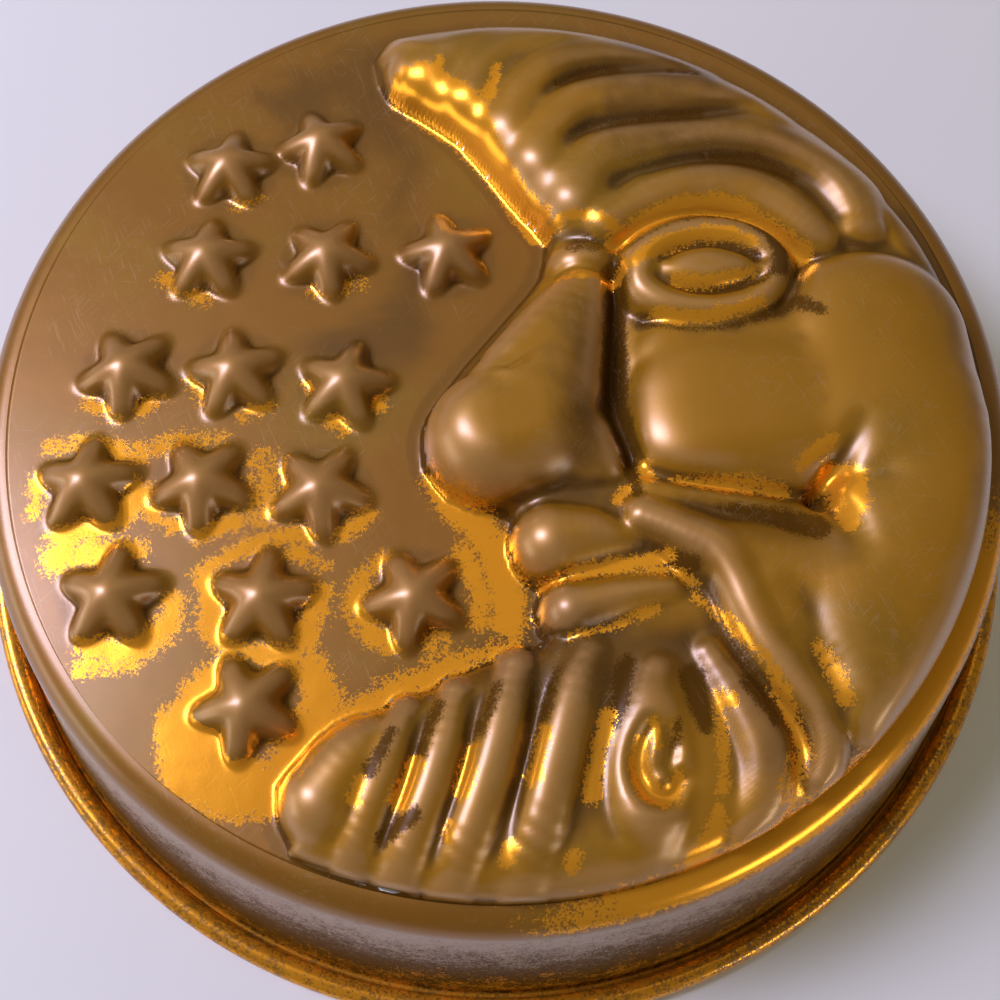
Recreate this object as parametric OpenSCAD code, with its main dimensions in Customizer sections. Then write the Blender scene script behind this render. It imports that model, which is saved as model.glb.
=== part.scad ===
// Round copper cake mould, pressed from one sheet and standing upside down on its rolled rim.
// A crescent face and a sky of small stars stand out from its flat top and are hollow below.
// Millimetres: the floor is z = 0, the axis of the mould is the z axis, the beard points to -y.

/* [Body] */
// Width over the rolled rim
mould_diameter = 260; // [230:1:300]
// Height of the flat top above the floor
plate_height = 54; // [42:1:70]
// Thickness of the copper sheet
sheet = 0.8; // [0.6:0.1:1.1]
// Lean of the side wall from upright, in degrees
wall_lean = 14; // [8:1:16]
// Outside radius of the rounded edge between the flat top and the wall
shoulder_radius = 6.5; // [4:0.5:9]

/* [Rolled rim] */
// Thickness of the rolled bead
bead_diameter = 5.2; // [4.6:0.2:7]
// Open gap between the foot of the wall and the bead
bead_gap = 1.4; // [1:0.1:3]
// How far the sheet is rolled round, in degrees
bead_turn = 290; // [240:5:300]
// Inside radius of the bend at the foot of the wall
foot_radius = 0.7; // [0.5:0.1:1.5]

/* [Crescent face] */
// Share of the flat top that the crescent fills
crescent_share = 0.997; // [0.85:0.001:0.997]
// Height of the nose above the flat top
nose_height = 16.8; // [11:0.2:19]
// Softness of the hollows between neighbouring forms
blend = 0.7; // [0.4:0.1:1.2]

/* [Stars] */
// Width of a star over its points
star_width = 22.6; // [16:0.2:23]
// Width of a star between its notches
star_waist = 14.2; // [10:0.2:15]
// Height of a star
star_height = 6; // [4:0.2:8]

/* [Shown] */
// Which piece is drawn

/* [Hidden] */
$fn = 96;

// The profile of the turned body, as radii and heights of its bends
bead_r = bead_diameter / 2;
bead_centre = mould_diameter / 2 - bead_r;
wall_at_bead = bead_centre - bead_r - bead_gap;
slope = tan(wall_lean);
shoulder_z = plate_height - shoulder_radius;
shoulder_x = wall_at_bead - (shoulder_z + shoulder_radius * sin(wall_lean) - bead_r) * slope
    - shoulder_radius * cos(wall_lean);
foot_z = sheet + foot_radius;
foot_x = wall_at_bead + (bead_r - foot_z + foot_radius * sin(wall_lean)) * slope
    + foot_radius * cos(wall_lean);

// Steps in which the bends of the section are drawn
shoulder_steps = 12;
foot_steps = 6;
bead_steps = 32;

// The pressed figures are drawn for a flat top of this radius and then scaled to the real one
drawn_flat = 105.5;
drawn_nose = 16.8;
scale_xy = shoulder_x * crescent_share / drawn_flat;
scale_z = nose_height / drawn_nose;
// Depth below the top surface at which the pressed figures are let into the sheet
root = sheet / 2;
// Depth at which their hollows open below the sheet
mouth = sheet + 1;
far = -20;

// The back of the crescent is an arc
arc_centre = [1.5, -3.2];
arc_radius = 101.9;

// Rows across the crescent, from the tip of the hair down to the tip of the beard:
// x and y where the row leaves the front edge, the bearing of its other end on the arc,
// how far it bulges upward between them, and how many rows (2 or 4) run on to the next
ROWS = [
    [-30, 88, 92, 2, 2], [-28.5, 81, 83, 4, 2], [-25, 76.2, 76, 6, 4], [-16.8, 70, 66, 9.5, 4],
    [-7.5, 63, 56, 13, 2], [-4, 58, 49, 15.5, 4], [1.2, 50.4, 40, 18.5, 2], [5.2, 44.4, 31, 21, 2],
    [9.5, 38.8, 20, 23, 2], [11.2, 35.8, 14, 22.5, 4],
    [11, 32.5, 8, 16, 4], [10.6, 29.5, 4, 10, 4], [9.6, 26, 0, 4.5, 2], [7, 22, -3, 1, 4],
    [-7, 4, -13, 0, 2], [-12.5, -4, -17, 0, 2], [-15.8, -12, -21, 0, 2], [-15.4, -19.5, -26, 0, 2],
    [-10.5, -26, -30, 0, 2], [3, -30.5, -35, 0, 2], [3.2, -34.5, -37, 0, 2], [4.8, -39.5, -40, 0, 2],
    [9.2, -44.5, -43, 0, 2], [8.4, -49, -47, 0, 2], [10.4, -54, -52, 0, 2], [14, -57, -60, 2, 4],
    [6, -58.5, -71, 2, 4], [-5, -62.3, -84, 2, 4], [-15, -67, -91.5, 1, 4], [-25, -71.6, -97.5, 1, 4],
    [-35, -76.8, -103.5, 0, 2], [-42, -84.5, -109.5, 0, 2], [-41.2, -91, -112, 0, 0],
];
// Where the crescent comes to its ends, above the first row and below the last
TIPS = [[-27, 94.4], [-38.6, -95.4]];

// Places of the rows' points, as shares of a row's length
COLUMNS = concat(
    [0, 0.011, 0.03, 0.058],
    [for (i = [0:17]) 0.086 + 0.0295 * i],
    [for (i = [0:6]) 0.6325 + 0.045 * i],
    [0.938, 0.966, 0.986, 1]
);

// Rounded ridges: sharpness, then x, y, half width and height at points along the ridge
HAIR = [
    [2, [[-19.3, 81.5, 8.3, 8.6], [-14.5, 81, 9.6, 10.2], [-6.5, 86.3, 9, 10], [3, 89.3, 7.5, 9.5],
        [12, 90.5, 6, 9]]],
    [2, [[-5.5, 73, 9.3, 10.8], [-3, 80, 9, 11.2], [4, 85.5, 8.5, 11], [16, 88, 8.5, 10.6],
        [30, 85.5, 8, 10]]],
    [2, [[3.8, 64, 10, 12], [6.5, 71.5, 10.5, 12.6], [13, 78.5, 10, 12.4], [23, 81.5, 10, 12],
        [35, 80.5, 9.5, 11.4], [47, 76, 8.5, 10.8]]],
    [2, [[10.5, 54, 10, 12.8], [13, 62, 11, 13.3], [19, 68, 11, 13.2], [29, 71, 11, 13],
        [42, 71.5, 10.5, 12.6], [54, 68.5, 9.5, 12], [63, 64, 8.5, 11]]],
    [2, [[18.3, 43.5, 10.2, 13], [20.5, 50.5, 11.5, 13.6], [28, 55.5, 11.5, 13.6], [40, 58, 11, 13.5],
        [52, 58.5, 10.5, 13.2], [62, 56, 10, 12.8], [71, 50.5, 10, 12.3], [77.5, 43.5, 9.5, 11.8],
        [80, 36, 8.5, 10.8]]],
    [2, [[24, 37, 8, 12], [33, 42, 9.5, 13], [43, 45.5, 9.5, 13.2], [53, 45.5, 9.5, 13.2],
        [61.5, 41.5, 9, 12.8], [68, 36, 8, 12], [71.5, 32, 7, 10.5]]],
    [2, [[-15.5, 79, 8.2, 8.8], [-4, 71, 8.8, 10], [5.5, 60.5, 9.8, 11.2], [13.5, 50, 10.3, 11.8],
        [22, 41, 11, 11.6]]],
    [2.4, [[0, 80, 14, 9.6], [28, 68, 18, 11.6], [54, 58, 18, 11.8], [74, 44, 15, 11]]],
];
NOSE = [
    [2.6, [[18.3, 19.5, 7.2, 10.5], [13.5, 8, 11.5, 13.5], [7.5, -6, 15.5, 15.8]]],
    [2.2, [[-0.5, -14, 15.2, 16.8], [6, -13.5, 15, 16.2]]],
    [2, [[8, -14, 13, 15], [15, -16, 11.5, 13], [21, -19, 7.8, 10.8]]],
];
CHEEK = [
    [2.6, [[80, 9, 22, 15], [81, -11, 22, 15.5]]],
    [2.6, [[84, -8, 19, 15.5], [88, -25, 15.5, 15.8], [84, -42, 19, 15.5]]],
    [2.6, [[40, 4, 13, 10.8], [62, 4, 13, 11.6]]],
    [2, [[29, -32.5, 6.5, 10.8], [36, -35.5, 8, 11.8], [43, -39.5, 10.5, 12.4], [55, -42.5, 14, 12.4],
        [66, -44, 18, 13.4], [80, -40, 23.5, 15.5]]],
    [2.4, [[80, -40, 23.5, 15.5], [76, -52, 22, 15], [70, -63, 16, 13.5]]],
    [2.1, [[29, -32.5, 6, 10.8], [36, -35.5, 6.5, 12], [42.5, -39, 7, 13], [46, -45, 7, 13.2],
        [48.5, -52, 7, 13.2], [51.5, -59, 6.8, 13], [56, -65.5, 6.3, 12.4], [59.5, -71, 5.8, 11.6],
        [61, -77, 5.4, 10.4], [60, -83, 4.8, 8.5]]],
];
LIPS = [
    [2.1, [[11.3, -36.8, 9.2, 11.2], [18.5, -36.2, 7.4, 10.4], [26.5, -36.8, 4.2, 8.8]]],
    [2.1, [[14.5, -51.2, 7, 10.4], [24, -48.8, 5.6, 9.8], [34, -47.2, 3.8, 8.8]]],
];
LIDS = [
    [2, bow([45.3, 24.5], [15, 9.2], 6, 174, 9, 3.8, 12.6)],
    [2, bow([45, 22.3], [15, 8.2], 188, 352, 9, 4, 12.3)],
];
FLESH = [
    [2, [[32, 24, 3.6, 12], [36, 24.3, 1.8, 11.6]]],
    [2, [[59, 23, 3.6, 12], [54.8, 22.9, 1.8, 11.6]]],
    [2.2, [[52, -48, 9, 12.4], [57, -58, 8.5, 12.2], [61.5, -68, 6.5, 11]]],
    [2.2, [[32, -27, 7, 9], [48, -28, 9, 10.6], [64, -30, 12, 11]]],
    [2.4, [[30, -50, 12, 7.5], [45, -52, 12, 7.5]]],
    [3, [[20, -66, 14, 8], [40, -76, 18, 8]]],
];
BEARD = [
    [2.1, [[-32.5, -87, 9, 10.5], [-27.5, -80, 8, 9.8], [-23.5, -75.5, 5, 7.5]]],
    [2.3, [[-17.5, -71, 4, 6.8], [-19.8, -77, 5.2, 9.2], [-22.5, -85, 5.6, 9.8], [-25.5, -93, 5.4, 8.6],
        [-27, -97, 5, 6]]],
    [2.3, [[-8, -68, 4.5, 7.5], [-10.3, -77, 5.6, 10], [-13, -86, 5.8, 10.2], [-16.5, -95, 5.8, 9],
        [-18.5, -100, 5.4, 6]]],
    [2.3, [[3.5, -63, 5, 8.5], [0.8, -73, 6, 10.5], [-2, -83, 6.2, 10.6], [-6, -94, 6.2, 9.6],
        [-9, -101, 5.8, 6]]],
    [2.3, [[17.5, -60, 5.6, 9], [14, -69, 6.2, 10.8], [11, -79, 6.4, 11], [8, -90, 6.4, 10.2],
        [4, -101, 6.2, 6]]],
    [2.2, [[29.8, -64, 6, 9.6], [28.8, -72, 8.6, 10.6], [28.3, -81, 10, 11], [27.5, -88, 9.4, 10.6],
        [27, -93, 7, 8]]],
    [2.2, [[40.5, -60, 5, 9], [45.5, -69, 6.4, 10.2], [49, -78, 7, 10.6], [48.5, -85, 6.6, 9.6],
        [45.5, -92, 5.6, 7]]],
];
RIDGES = [for (group = [HAIR, NOSE, CHEEK, LIPS, LIDS, FLESH, BEARD]) each
    [for (ridge = group) concat(ridge, [reach(ridge[1])])]];

// Rounded pads: x, y, half width, half depth, height, sharpness and squareness
CUSHION = [54, -9, 27.4, 18.4, 13.6, 3.2, 3];
BROW = [19.4, 27.8, 9, 6.2, 9.6, 2.2, 2];
EYEBALL = [45.2, 24, 12.2, 5.7, 13.3, 2, 1.6];
LID_BED = [45.2, 23.6, 15.5, 10, 11, 2.6, 2];
SOCKET = [45.8, 23.5, 18, 14.6, 9.8, 2.4, 2.2];
PADS = [CUSHION, BROW, EYEBALL, LID_BED, SOCKET];

// Creases pressed back into the face: x, y, half width and depth along each
CREASES = [
    [[30, -23.5, 1.4, 1.4], [38, -25.3, 1.4, 1.8], [50, -27, 1.6, 2.2], [64.5, -28.6, 2, 2.6]],
    [[40, -30, 5, 0.8], [52, -31, 6, 1.6], [62, -31.5, 6.5, 2.8]],
    [[64.5, -28.6, 2, 2.6], [68.5, -22.5, 2.4, 2.2], [73, -14.5, 3, 0.8]],
    [[64.5, -28.6, 2, 2.6], [68, -34.5, 2.8, 2], [70.5, -41, 3.2, 0.6]],
    [[58, -58, 3, 0.4], [61.5, -64, 3.4, 1.3], [64, -71, 3, 1.1]],
    [[25.8, 23, 1.8, 2.2], [24.3, 5, 2.2, 2.8], [24.2, -8, 2.2, 3], [27, -20, 1.8, 2.8]],
    [[12, 70.5, 1.8, 0.6], [19, 75, 2.2, 1.6], [30, 77, 2.4, 1.4], [43, 77, 2.4, 0.8]],
    [[16, 57, 1.8, 0.6], [22, 60.5, 2, 1.6], [34, 62.3, 2.2, 1.8], [46, 63.5, 2.4, 1.8],
        [58, 66, 2.4, 0.8]],
    [[34, 48, 1.8, 0.5], [42, 51.5, 2.2, 1.3], [52, 52.3, 2.6, 2], [62, 50.5, 3, 2.4],
        [70, 45.5, 3.4, 2.4], [74.5, 38.5, 3.2, 1.6]],
    [[28, -74, 1.7, 1.4], [26.2, -77.5, 2, 2.4], [25.6, -82, 2.3, 3], [27.4, -86, 2.4, 3],
        [30.8, -86.8, 2.4, 2.8], [33, -84, 2, 2]],
    [[31, -74.5, 1.5, 1.4], [31.8, -78, 1.9, 2], [31, -81, 1.9, 1.8]],
    [[29.4, -76, 3.4, 0.8], [29.2, -82, 4.4, 1.5]],
];

// Stars: x, y and the bearing of one point
STARS = [
    [-62.5, 56, 15], [-41.5, 62.5, 40], [-65.5, 31.5, 17], [-38.5, 32, 63], [-11.5, 33, 33],
    [-80.3, 3, 50], [-57, 2.7, 28], [-33, 0, 6], [-85.5, -23.2, 18], [-61.7, -23, 53],
    [-37, -24.6, 61], [-77.5, -47.2, 17], [-47.4, -47.8, 14], [-17, -47.7, 45], [-48.8, -69.3, 45],
];

function clamp(v) = min(1, max(0, v));
function mix(a, b, t) = a + (b - a) * t;

// Points of a bowed ridge, part of an ellipse
function bow(centre, size, from, to, steps, half, high) = [
    for (i = [0:steps])
        let (a = mix(from, to, i / steps))
            [centre[0] + size[0] * cos(a), centre[1] + size[1] * sin(a), half, high]
];

// Middle and radius of a circle round the whole of a ridge
function reach(path) =
    let (xs = [for (p = path) p[0]], ys = [for (p = path) p[1]])
    let (mid = [(min(xs) + max(xs)) / 2, (min(ys) + max(ys)) / 2])
        [mid[0], mid[1], max([for (p = path) norm([p[0], p[1]] - mid) + p[2]])];

// Distance from a point to one stretch of a path, and how far along the stretch it is
function along(x, y, a, b) =
    let (dx = b[0] - a[0], dy = b[1] - a[1])
    let (t = clamp(((x - a[0]) * dx + (y - a[1]) * dy) / (dx * dx + dy * dy)))
        [norm([x - a[0] - dx * t, y - a[1] - dy * t]), t];

// A dome over one stretch, falling away below the sheet outside it
fall = 1.6;
function domed(d, half, high, sharp) =
    d < half ? high * pow(1 - pow(d / half, sharp), 1 / sharp) : fall * (half - d);
function ridge_at(x, y, ridge) =
    norm([x - ridge[2][0], y - ridge[2][1]]) > ridge[2][2] + 5 ? far
    : max([for (i = [1:len(ridge[1]) - 1])
        let (a = ridge[1][i - 1], b = ridge[1][i], q = along(x, y, a, b))
            domed(q[0], mix(a[2], b[2], q[1]), mix(a[3], b[3], q[1]), ridge[0])]);
function pad_at(x, y, p) =
    let (u = pow(pow(abs((x - p[0]) / p[2]), p[6]) + pow(abs((y - p[1]) / p[3]), p[6]), 1 / p[6]))
        u < 1 ? p[4] * pow(1 - pow(u, p[5]), 1 / p[5]) : fall * (1 - u) * min(p[2], p[3]);
function crease_at(x, y, path) =
    max([for (i = [1:len(path) - 1])
        let (a = path[i - 1], b = path[i], q = along(x, y, a, b))
            mix(a[3], b[3], q[1]) * exp(-pow(q[0] / mix(a[2], b[2], q[1]), 2))]);

// Sums of domes that run softly into each other, and the lower of two heights, softened
function soft_max(v, k) = let (m = max(v)) m + k * ln([for (a = v) exp((a - m) / k)] * [for (a = v) 1]);
function soft_min(a, b, k) = -soft_max([-a, -b], k);

// The edge of the crescent: distance in from its front edge, and from the arc at its back
FRONT = concat([TIPS[0]], [for (r = ROWS) [r[0], r[1]]], [TIPS[1]]);
function from_front(x, y) = min([for (i = [1:len(FRONT) - 1]) along(x, y, FRONT[i - 1], FRONT[i])[0]]);
function from_back(x, y) = arc_radius - norm([x, y] - arc_centre);

// Low base of the figure, rounded down to its edge and softer in the hair
function base_at(x, y) =
    let (soft = clamp((y - 36) / 16), wide = 8 + 8 * soft, high = 7 + 3.2 * soft)
    let (d = max(0, min(from_front(x, y), from_back(x, y))))
        high * pow(1 - pow(1 - clamp(d / wide), 2), 0.5 + 0.25 * soft);

// Slope at the back of the figure: steep by the cheek, long and easy behind the hair
function back_at(x, y) =
    let (bearing = atan2(y - arc_centre[1], x - arc_centre[0]), easy = clamp((bearing - 12) / 33))
    let (low = clamp((-20 - bearing) / 40), wide = 10 + 9 * easy + 3 * low)
    let (high = 16.5 - 2.5 * easy)
        high * pow(1 - pow(1 - clamp(from_back(x, y) / wide), 2), 0.5 + 0.5 * easy);

// Height of the crescent face over the flat top
function face_at(x, y) =
    let (ridges = [for (r = RIDGES) ridge_at(x, y, r)], pads = [for (p = PADS) pad_at(x, y, p)])
    let (domes = concat([base_at(x, y)], ridges, pads))
    let (raised = soft_max([for (d = domes) if (d > -6) d], blend))
    let (cut = raised - [for (c = CREASES) crease_at(x, y, c)] * [for (c = CREASES) 1])
        soft_min(cut, back_at(x, y), 0.8);

// Points of one row across the crescent
function on_arc(bearing) = arc_centre + arc_radius * [cos(bearing), sin(bearing)];
function row(a, b, t) =
    let (r = [for (i = [0:3]) mix(a[i], b[i], t)], p = [r[0], r[1]], q = on_arc(r[2]))
        [for (c = COLUMNS) mix(p, q, c) + [0, 4 * r[3] * c * (1 - c)]];
PLAN = concat(
    [for (i = [1:len(ROWS) - 1])
        let (a = ROWS[i - 1], n = a[4])
            for (k = [0:n - 1]) row(a, ROWS[i], k / n)],
    [row(ROWS[len(ROWS) - 1], ROWS[len(ROWS) - 1], 0)]
);
last_row = len(PLAN) - 1;
last_col = len(COLUMNS) - 1;
function at_edge(j) = j == 0 || j == last_col;
HEIGHTS = [for (line = PLAN) [for (j = [0:last_col])
    at_edge(j) ? 0 : max(0.3, face_at(line[j][0], line[j][1]))]];

// A hollow follows every second row and column, below the lowest of the points around
function least(i, j) = min([for (a = [-1:1]) for (b = [-1:1]) HEIGHTS[i + a][j + b]]);
function placed(p, z) = [p[0] * scale_xy, p[1] * scale_xy, z];
SKIN = [for (i = [0:last_row]) [for (j = [0:last_col])
    placed(PLAN[i][j], at_edge(j) ? -root : HEIGHTS[i][j] * scale_z)]];
SKIN_TIPS = [for (p = TIPS) placed(p, -root)];
HOLLOW = [for (i = [2:2:last_row - 1]) [for (j = [0:2:last_col])
    placed(PLAN[i][j], at_edge(j) ? -mouth : least(i, j) * scale_z - sheet)]];
HOLLOW_TIPS = [for (line = [PLAN[0], PLAN[last_row]]) placed(line[last_col / 2], -mouth)];

// A closed body under a net of points that narrows to a tip at each end
module draped(net, tips) {
    cols = len(net[0]);
    end = len(net) * cols;
    last = end - cols;
    top = [for (i = [0:len(net) - 2]) for (j = [0:cols - 2])
        let (a = i * cols + j, b = a + 1, c = a + cols + 1, d = a + cols)
            each [[a, b, c], [a, c, d]]];
    under = [for (i = [0:len(net) - 2])
        let (a = i * cols, b = a + cols - 1, c = b + cols, d = a + cols)
            each [[a, c, b], [a, d, c]]];
    tip_tops = [for (j = [0:cols - 2]) each [[end, j + 1, j], [end + 1, last + j, last + j + 1]]];
    tip_unders = [[end, 0, cols - 1], [end + 1, end - 1, last]];
    polyhedron(
        points = concat([for (line = net) each line], tips),
        faces = concat(top, under, tip_tops, tip_unders)
    );
}

// Radius of a star towards a bearing from one of its points, and its height at a share of that
// radius: a round dome in the middle that runs out into the points
function star_radius(bearing) = mix(star_waist, star_width, pow((1 + cos(5 * bearing)) / 2, 1.15)) / 2;
function star_rise(edge, share) =
    let (round = (star_waist + star_width) / 4)
    let (out = min(1, edge * share / mix(round, edge, pow(share, 1.5))))
        star_height * pow(1 - pow(out, 2.2), 0.7);

// One pressed star, drawn as rings of points that close over its middle
module star_body(bearings, rings, cut, level) {
    n = len(bearings);
    m = len(rings);
    points = concat(
        [[0, 0, level]],
        [for (u = rings) for (a = bearings)
            let (edge = star_radius(a), r = edge * u)
                [r * cos(a), r * sin(a), u == 1 ? level : star_rise(edge, u) - cut]],
        [[0, 0, star_height - cut]]
    );
    floor_faces = [for (k = [0:n - 1]) [0, 1 + k, 1 + (k + 1) % n]];
    side_faces = [for (i = [0:m - 2]) for (k = [0:n - 1])
        let (a = 1 + i * n + k, b = 1 + i * n + (k + 1) % n)
            each [[a, a + n, b + n], [a, b + n, b]]];
    cap_faces = [for (k = [0:n - 1])
        [1 + (m - 1) * n + k, 1 + m * n, 1 + (m - 1) * n + (k + 1) % n]];
    polyhedron(points = points, faces = concat(floor_faces, side_faces, cap_faces));
}
// Three bearings to a star point: one each side of its blunt tip, and one in the notch
OUTSIDE_BEARINGS = [for (k = [0:4]) each [72 * k - 9, 72 * k + 9, 72 * k + 36]];
INSIDE_BEARINGS = [for (k = [0:4]) each [72 * k, 72 * k + 36]];

module at_stars() {
    for (s = STARS)
        translate([s[0] * scale_xy, s[1] * scale_xy, plate_height])
            rotate(s[2])
                scale([scale_xy, scale_xy, 1])
                    children();
}

// Points of an arc, in steps of a few degrees
function arc_points(centre, radius, from, to, steps) = [
    for (i = [0:steps])
        let (a = mix(from, to, i / steps))
            centre + radius * [cos(a), sin(a)]
];

// Section of the turned body as one outline: along the top of the sheet from the axis out over
// the shoulder, down the wall, round the foot and the rolled bead, and back along its underside
module section() {
    shoulder = [shoulder_x, shoulder_z];
    foot = [foot_x, foot_z];
    bead = [bead_centre, bead_r];
    bead_end = bead_turn - 90;
    foot_start = 180 + wall_lean;
    polygon(concat(
        [[0, plate_height]],
        arc_points(shoulder, shoulder_radius, 90, wall_lean, shoulder_steps),
        arc_points(foot, foot_radius, foot_start, 270, foot_steps),
        arc_points(bead, bead_r - sheet, -90, bead_end, bead_steps),
        arc_points(bead, bead_r, bead_end, -90, bead_steps),
        arc_points(foot, foot_radius + sheet, 270, foot_start, foot_steps),
        arc_points(shoulder, shoulder_radius - sheet, wall_lean, 90, shoulder_steps),
        [[0, plate_height - sheet]]
    ));
}

module mould() {
    color([0.72, 0.42, 0.22])
    difference() {
        union() {
            rotate_extrude() section();
            translate([0, 0, plate_height]) draped(SKIN, SKIN_TIPS);
            at_stars() star_body(OUTSIDE_BEARINGS, [1, 0.86, 0.5], 0, -root);
        }
        translate([0, 0, plate_height]) draped(HOLLOW, HOLLOW_TIPS);
        at_stars() star_body(INSIDE_BEARINGS, [1, 0.7], sheet, -mouth);
    }
}

mould();
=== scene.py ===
"""Copper cake mould: a photographic look for the turned body and its pressed crescent and stars.

Sizes are in millimetres until a mesh is made. The mould is one sheet of copper, shown as two pieces
that meet at the flat top's edge: the top with its pressed figures, and the wall with the rolled rim.
Each piece stores a few numbers on its points, such as how bare or how dark the metal is there, and
the finish reads them by name. The bare copper also paints an orange reflection in hollows and at
feet, the dark patches and darker stretches are partly painted shade, the wall darkens as a painted
dark reflection, and the film is darkened in valleys and grooves as painted shade and paled on crests
as a painted sheen.
"""

import logging
import math
from dataclasses import dataclass
from enum import Enum
from typing import Sequence

import bpy
import numpy as np
from mathutils import Matrix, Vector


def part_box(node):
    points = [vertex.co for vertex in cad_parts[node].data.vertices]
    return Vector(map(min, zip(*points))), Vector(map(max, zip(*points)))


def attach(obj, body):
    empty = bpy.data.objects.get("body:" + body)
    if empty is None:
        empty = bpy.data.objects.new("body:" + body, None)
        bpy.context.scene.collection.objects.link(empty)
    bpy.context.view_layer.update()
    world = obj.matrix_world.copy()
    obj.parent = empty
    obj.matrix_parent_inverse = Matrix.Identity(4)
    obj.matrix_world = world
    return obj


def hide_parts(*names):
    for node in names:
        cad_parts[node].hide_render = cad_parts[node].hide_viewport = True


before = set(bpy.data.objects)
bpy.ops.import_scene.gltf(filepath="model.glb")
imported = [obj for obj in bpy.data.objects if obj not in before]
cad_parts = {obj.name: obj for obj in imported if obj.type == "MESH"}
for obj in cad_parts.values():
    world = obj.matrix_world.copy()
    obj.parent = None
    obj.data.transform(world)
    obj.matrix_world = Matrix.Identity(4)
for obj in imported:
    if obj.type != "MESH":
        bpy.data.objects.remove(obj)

log = logging.getLogger("mould")

MM = 0.001
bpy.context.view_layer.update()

Array = np.ndarray
Colour = tuple[float, float, float]
Socket = bpy.types.NodeSocket
Value = Socket | float | Colour
Path = Sequence[Sequence[float]]


def mix(a: float | Array, b: float | Array, t: float | Array) -> float | Array:
    """Blend from a to b.

    Args:
        a: Value at t = 0.
        b: Value at t = 1.
        t: Share of the way.

    Returns:
        The blended value.
    """
    return a + (b - a) * t


def along(x: Array, y: Array, a: Sequence[float], b: Sequence[float]) -> tuple[Array, Array]:
    """Distance to one stretch of a path.

    Args:
        x: Points' x in millimetres.
        y: Points' y in millimetres.
        a: First end, x and y first.
        b: Other end, x and y first.

    Returns:
        The distances, and the share of the stretch at which each point is nearest.
    """
    dx, dy = b[0] - a[0], b[1] - a[1]
    t = np.clip(((x - a[0]) * dx + (y - a[1]) * dy) / (dx * dx + dy * dy), 0, 1)
    return np.hypot(x - a[0] - dx * t, y - a[1] - dy * t), t


def eased(path: Path, steps: int = 4) -> Array:
    """Draw a path's points out to a smooth curve through them.

    Args:
        path: Rows of numbers, x and y first.
        steps: Stretches for each stretch of the path.

    Returns:
        The rows of the curve.
    """
    pts = np.array(path, float)
    ends = np.concatenate([[2 * pts[0] - pts[1]], pts, [2 * pts[-1] - pts[-2]]])
    t = np.linspace(0, 1, steps, endpoint=False)[:, None]
    rows = []
    for a, b, c, d in zip(ends, ends[1:], ends[2:], ends[3:]):
        rows.append(b + 0.5 * t * (c - a + t * (2 * a - 5 * b + 4 * c - d + t * (3 * (b - c) + d - a))))
    return np.concatenate(rows + [pts[-1:]])


def near_path(x: Array, y: Array, pts: Array, spare: Array | float) -> Array:
    """Pick out the points that a path can reach, so that the others are left alone.

    Args:
        x: Points' x in millimetres.
        y: Points' y in millimetres.
        pts: Rows of the path, x and y first.
        spare: How far the path reaches beside each of its rows.

    Returns:
        True for each point that may lie within reach.
    """
    middle = (pts[:, :2].min(0) + pts[:, :2].max(0)) / 2
    reach = (np.hypot(*(pts[:, :2] - middle).T) + spare).max()
    return np.hypot(x - middle[0], y - middle[1]) < reach


def arc(centre: Sequence[float], size: Sequence[float], start: float, stop: float,
        steps: int) -> list[tuple[float, float]]:
    """Points along part of an ellipse.

    Args:
        centre: Its middle.
        size: Its half width and half depth.
        start: Bearing of the first point, in degrees.
        stop: Bearing of the last point, in degrees.
        steps: Stretches between the points.

    Returns:
        The points, both ends included.
    """
    turns = np.radians(np.linspace(start, stop, steps + 1))
    return [(centre[0] + size[0] * math.cos(a), centre[1] + size[1] * math.sin(a)) for a in turns]


def soft_max(values: Sequence[Array], softness: float) -> Array:
    """The highest of several heights, running softly from one to the next.

    Args:
        values: The heights, one array for each form.
        softness: How far the forms blend into each other, in millimetres.

    Returns:
        The height of them all together.
    """
    top = np.max(values, axis=0)
    return top + softness * np.log(sum(np.exp((v - top) / softness) for v in values))


def soft_min(a: Array, b: Array, softness: float) -> Array:
    """The lower of two heights, softened where they meet."""
    return -soft_max([-a, -b], softness)


# Height of a ridge where it is out of reach, and the fall beside a form for each millimetre out
FAR = -20.0
FALL = 1.6


@dataclass(frozen=True)
class Ridge:
    """A rounded ridge along a path.

    Args:
        sharpness: 2 for a round back, more for a flatter one.
        path: x, y, half width and height at points along the ridge.
    """

    sharpness: float
    path: Path

    def height(self, x: Array, y: Array) -> Array:
        """Work out the ridge's height, falling away below the sheet beside it.

        Args:
            x: Points' x in millimetres.
            y: Points' y in millimetres.

        Returns:
            The height at each point.
        """
        pts = eased(self.path)
        near = near_path(x, y, pts, pts[:, 2] + 5)
        u, v = x[near], y[near]
        best = np.full(u.shape, FAR)
        for a, b in zip(pts, pts[1:]):
            d, t = along(u, v, a, b)
            half, high = mix(a[2], b[2], t), mix(a[3], b[3], t)
            inside = np.clip(d / half, 0, 1)
            dome = high * (1 - inside**self.sharpness) ** (1 / self.sharpness)
            best = np.maximum(best, np.where(d < half, dome, FALL * (half - d)))
        out = np.full(x.shape, FAR)
        out[near] = best
        return out


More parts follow.
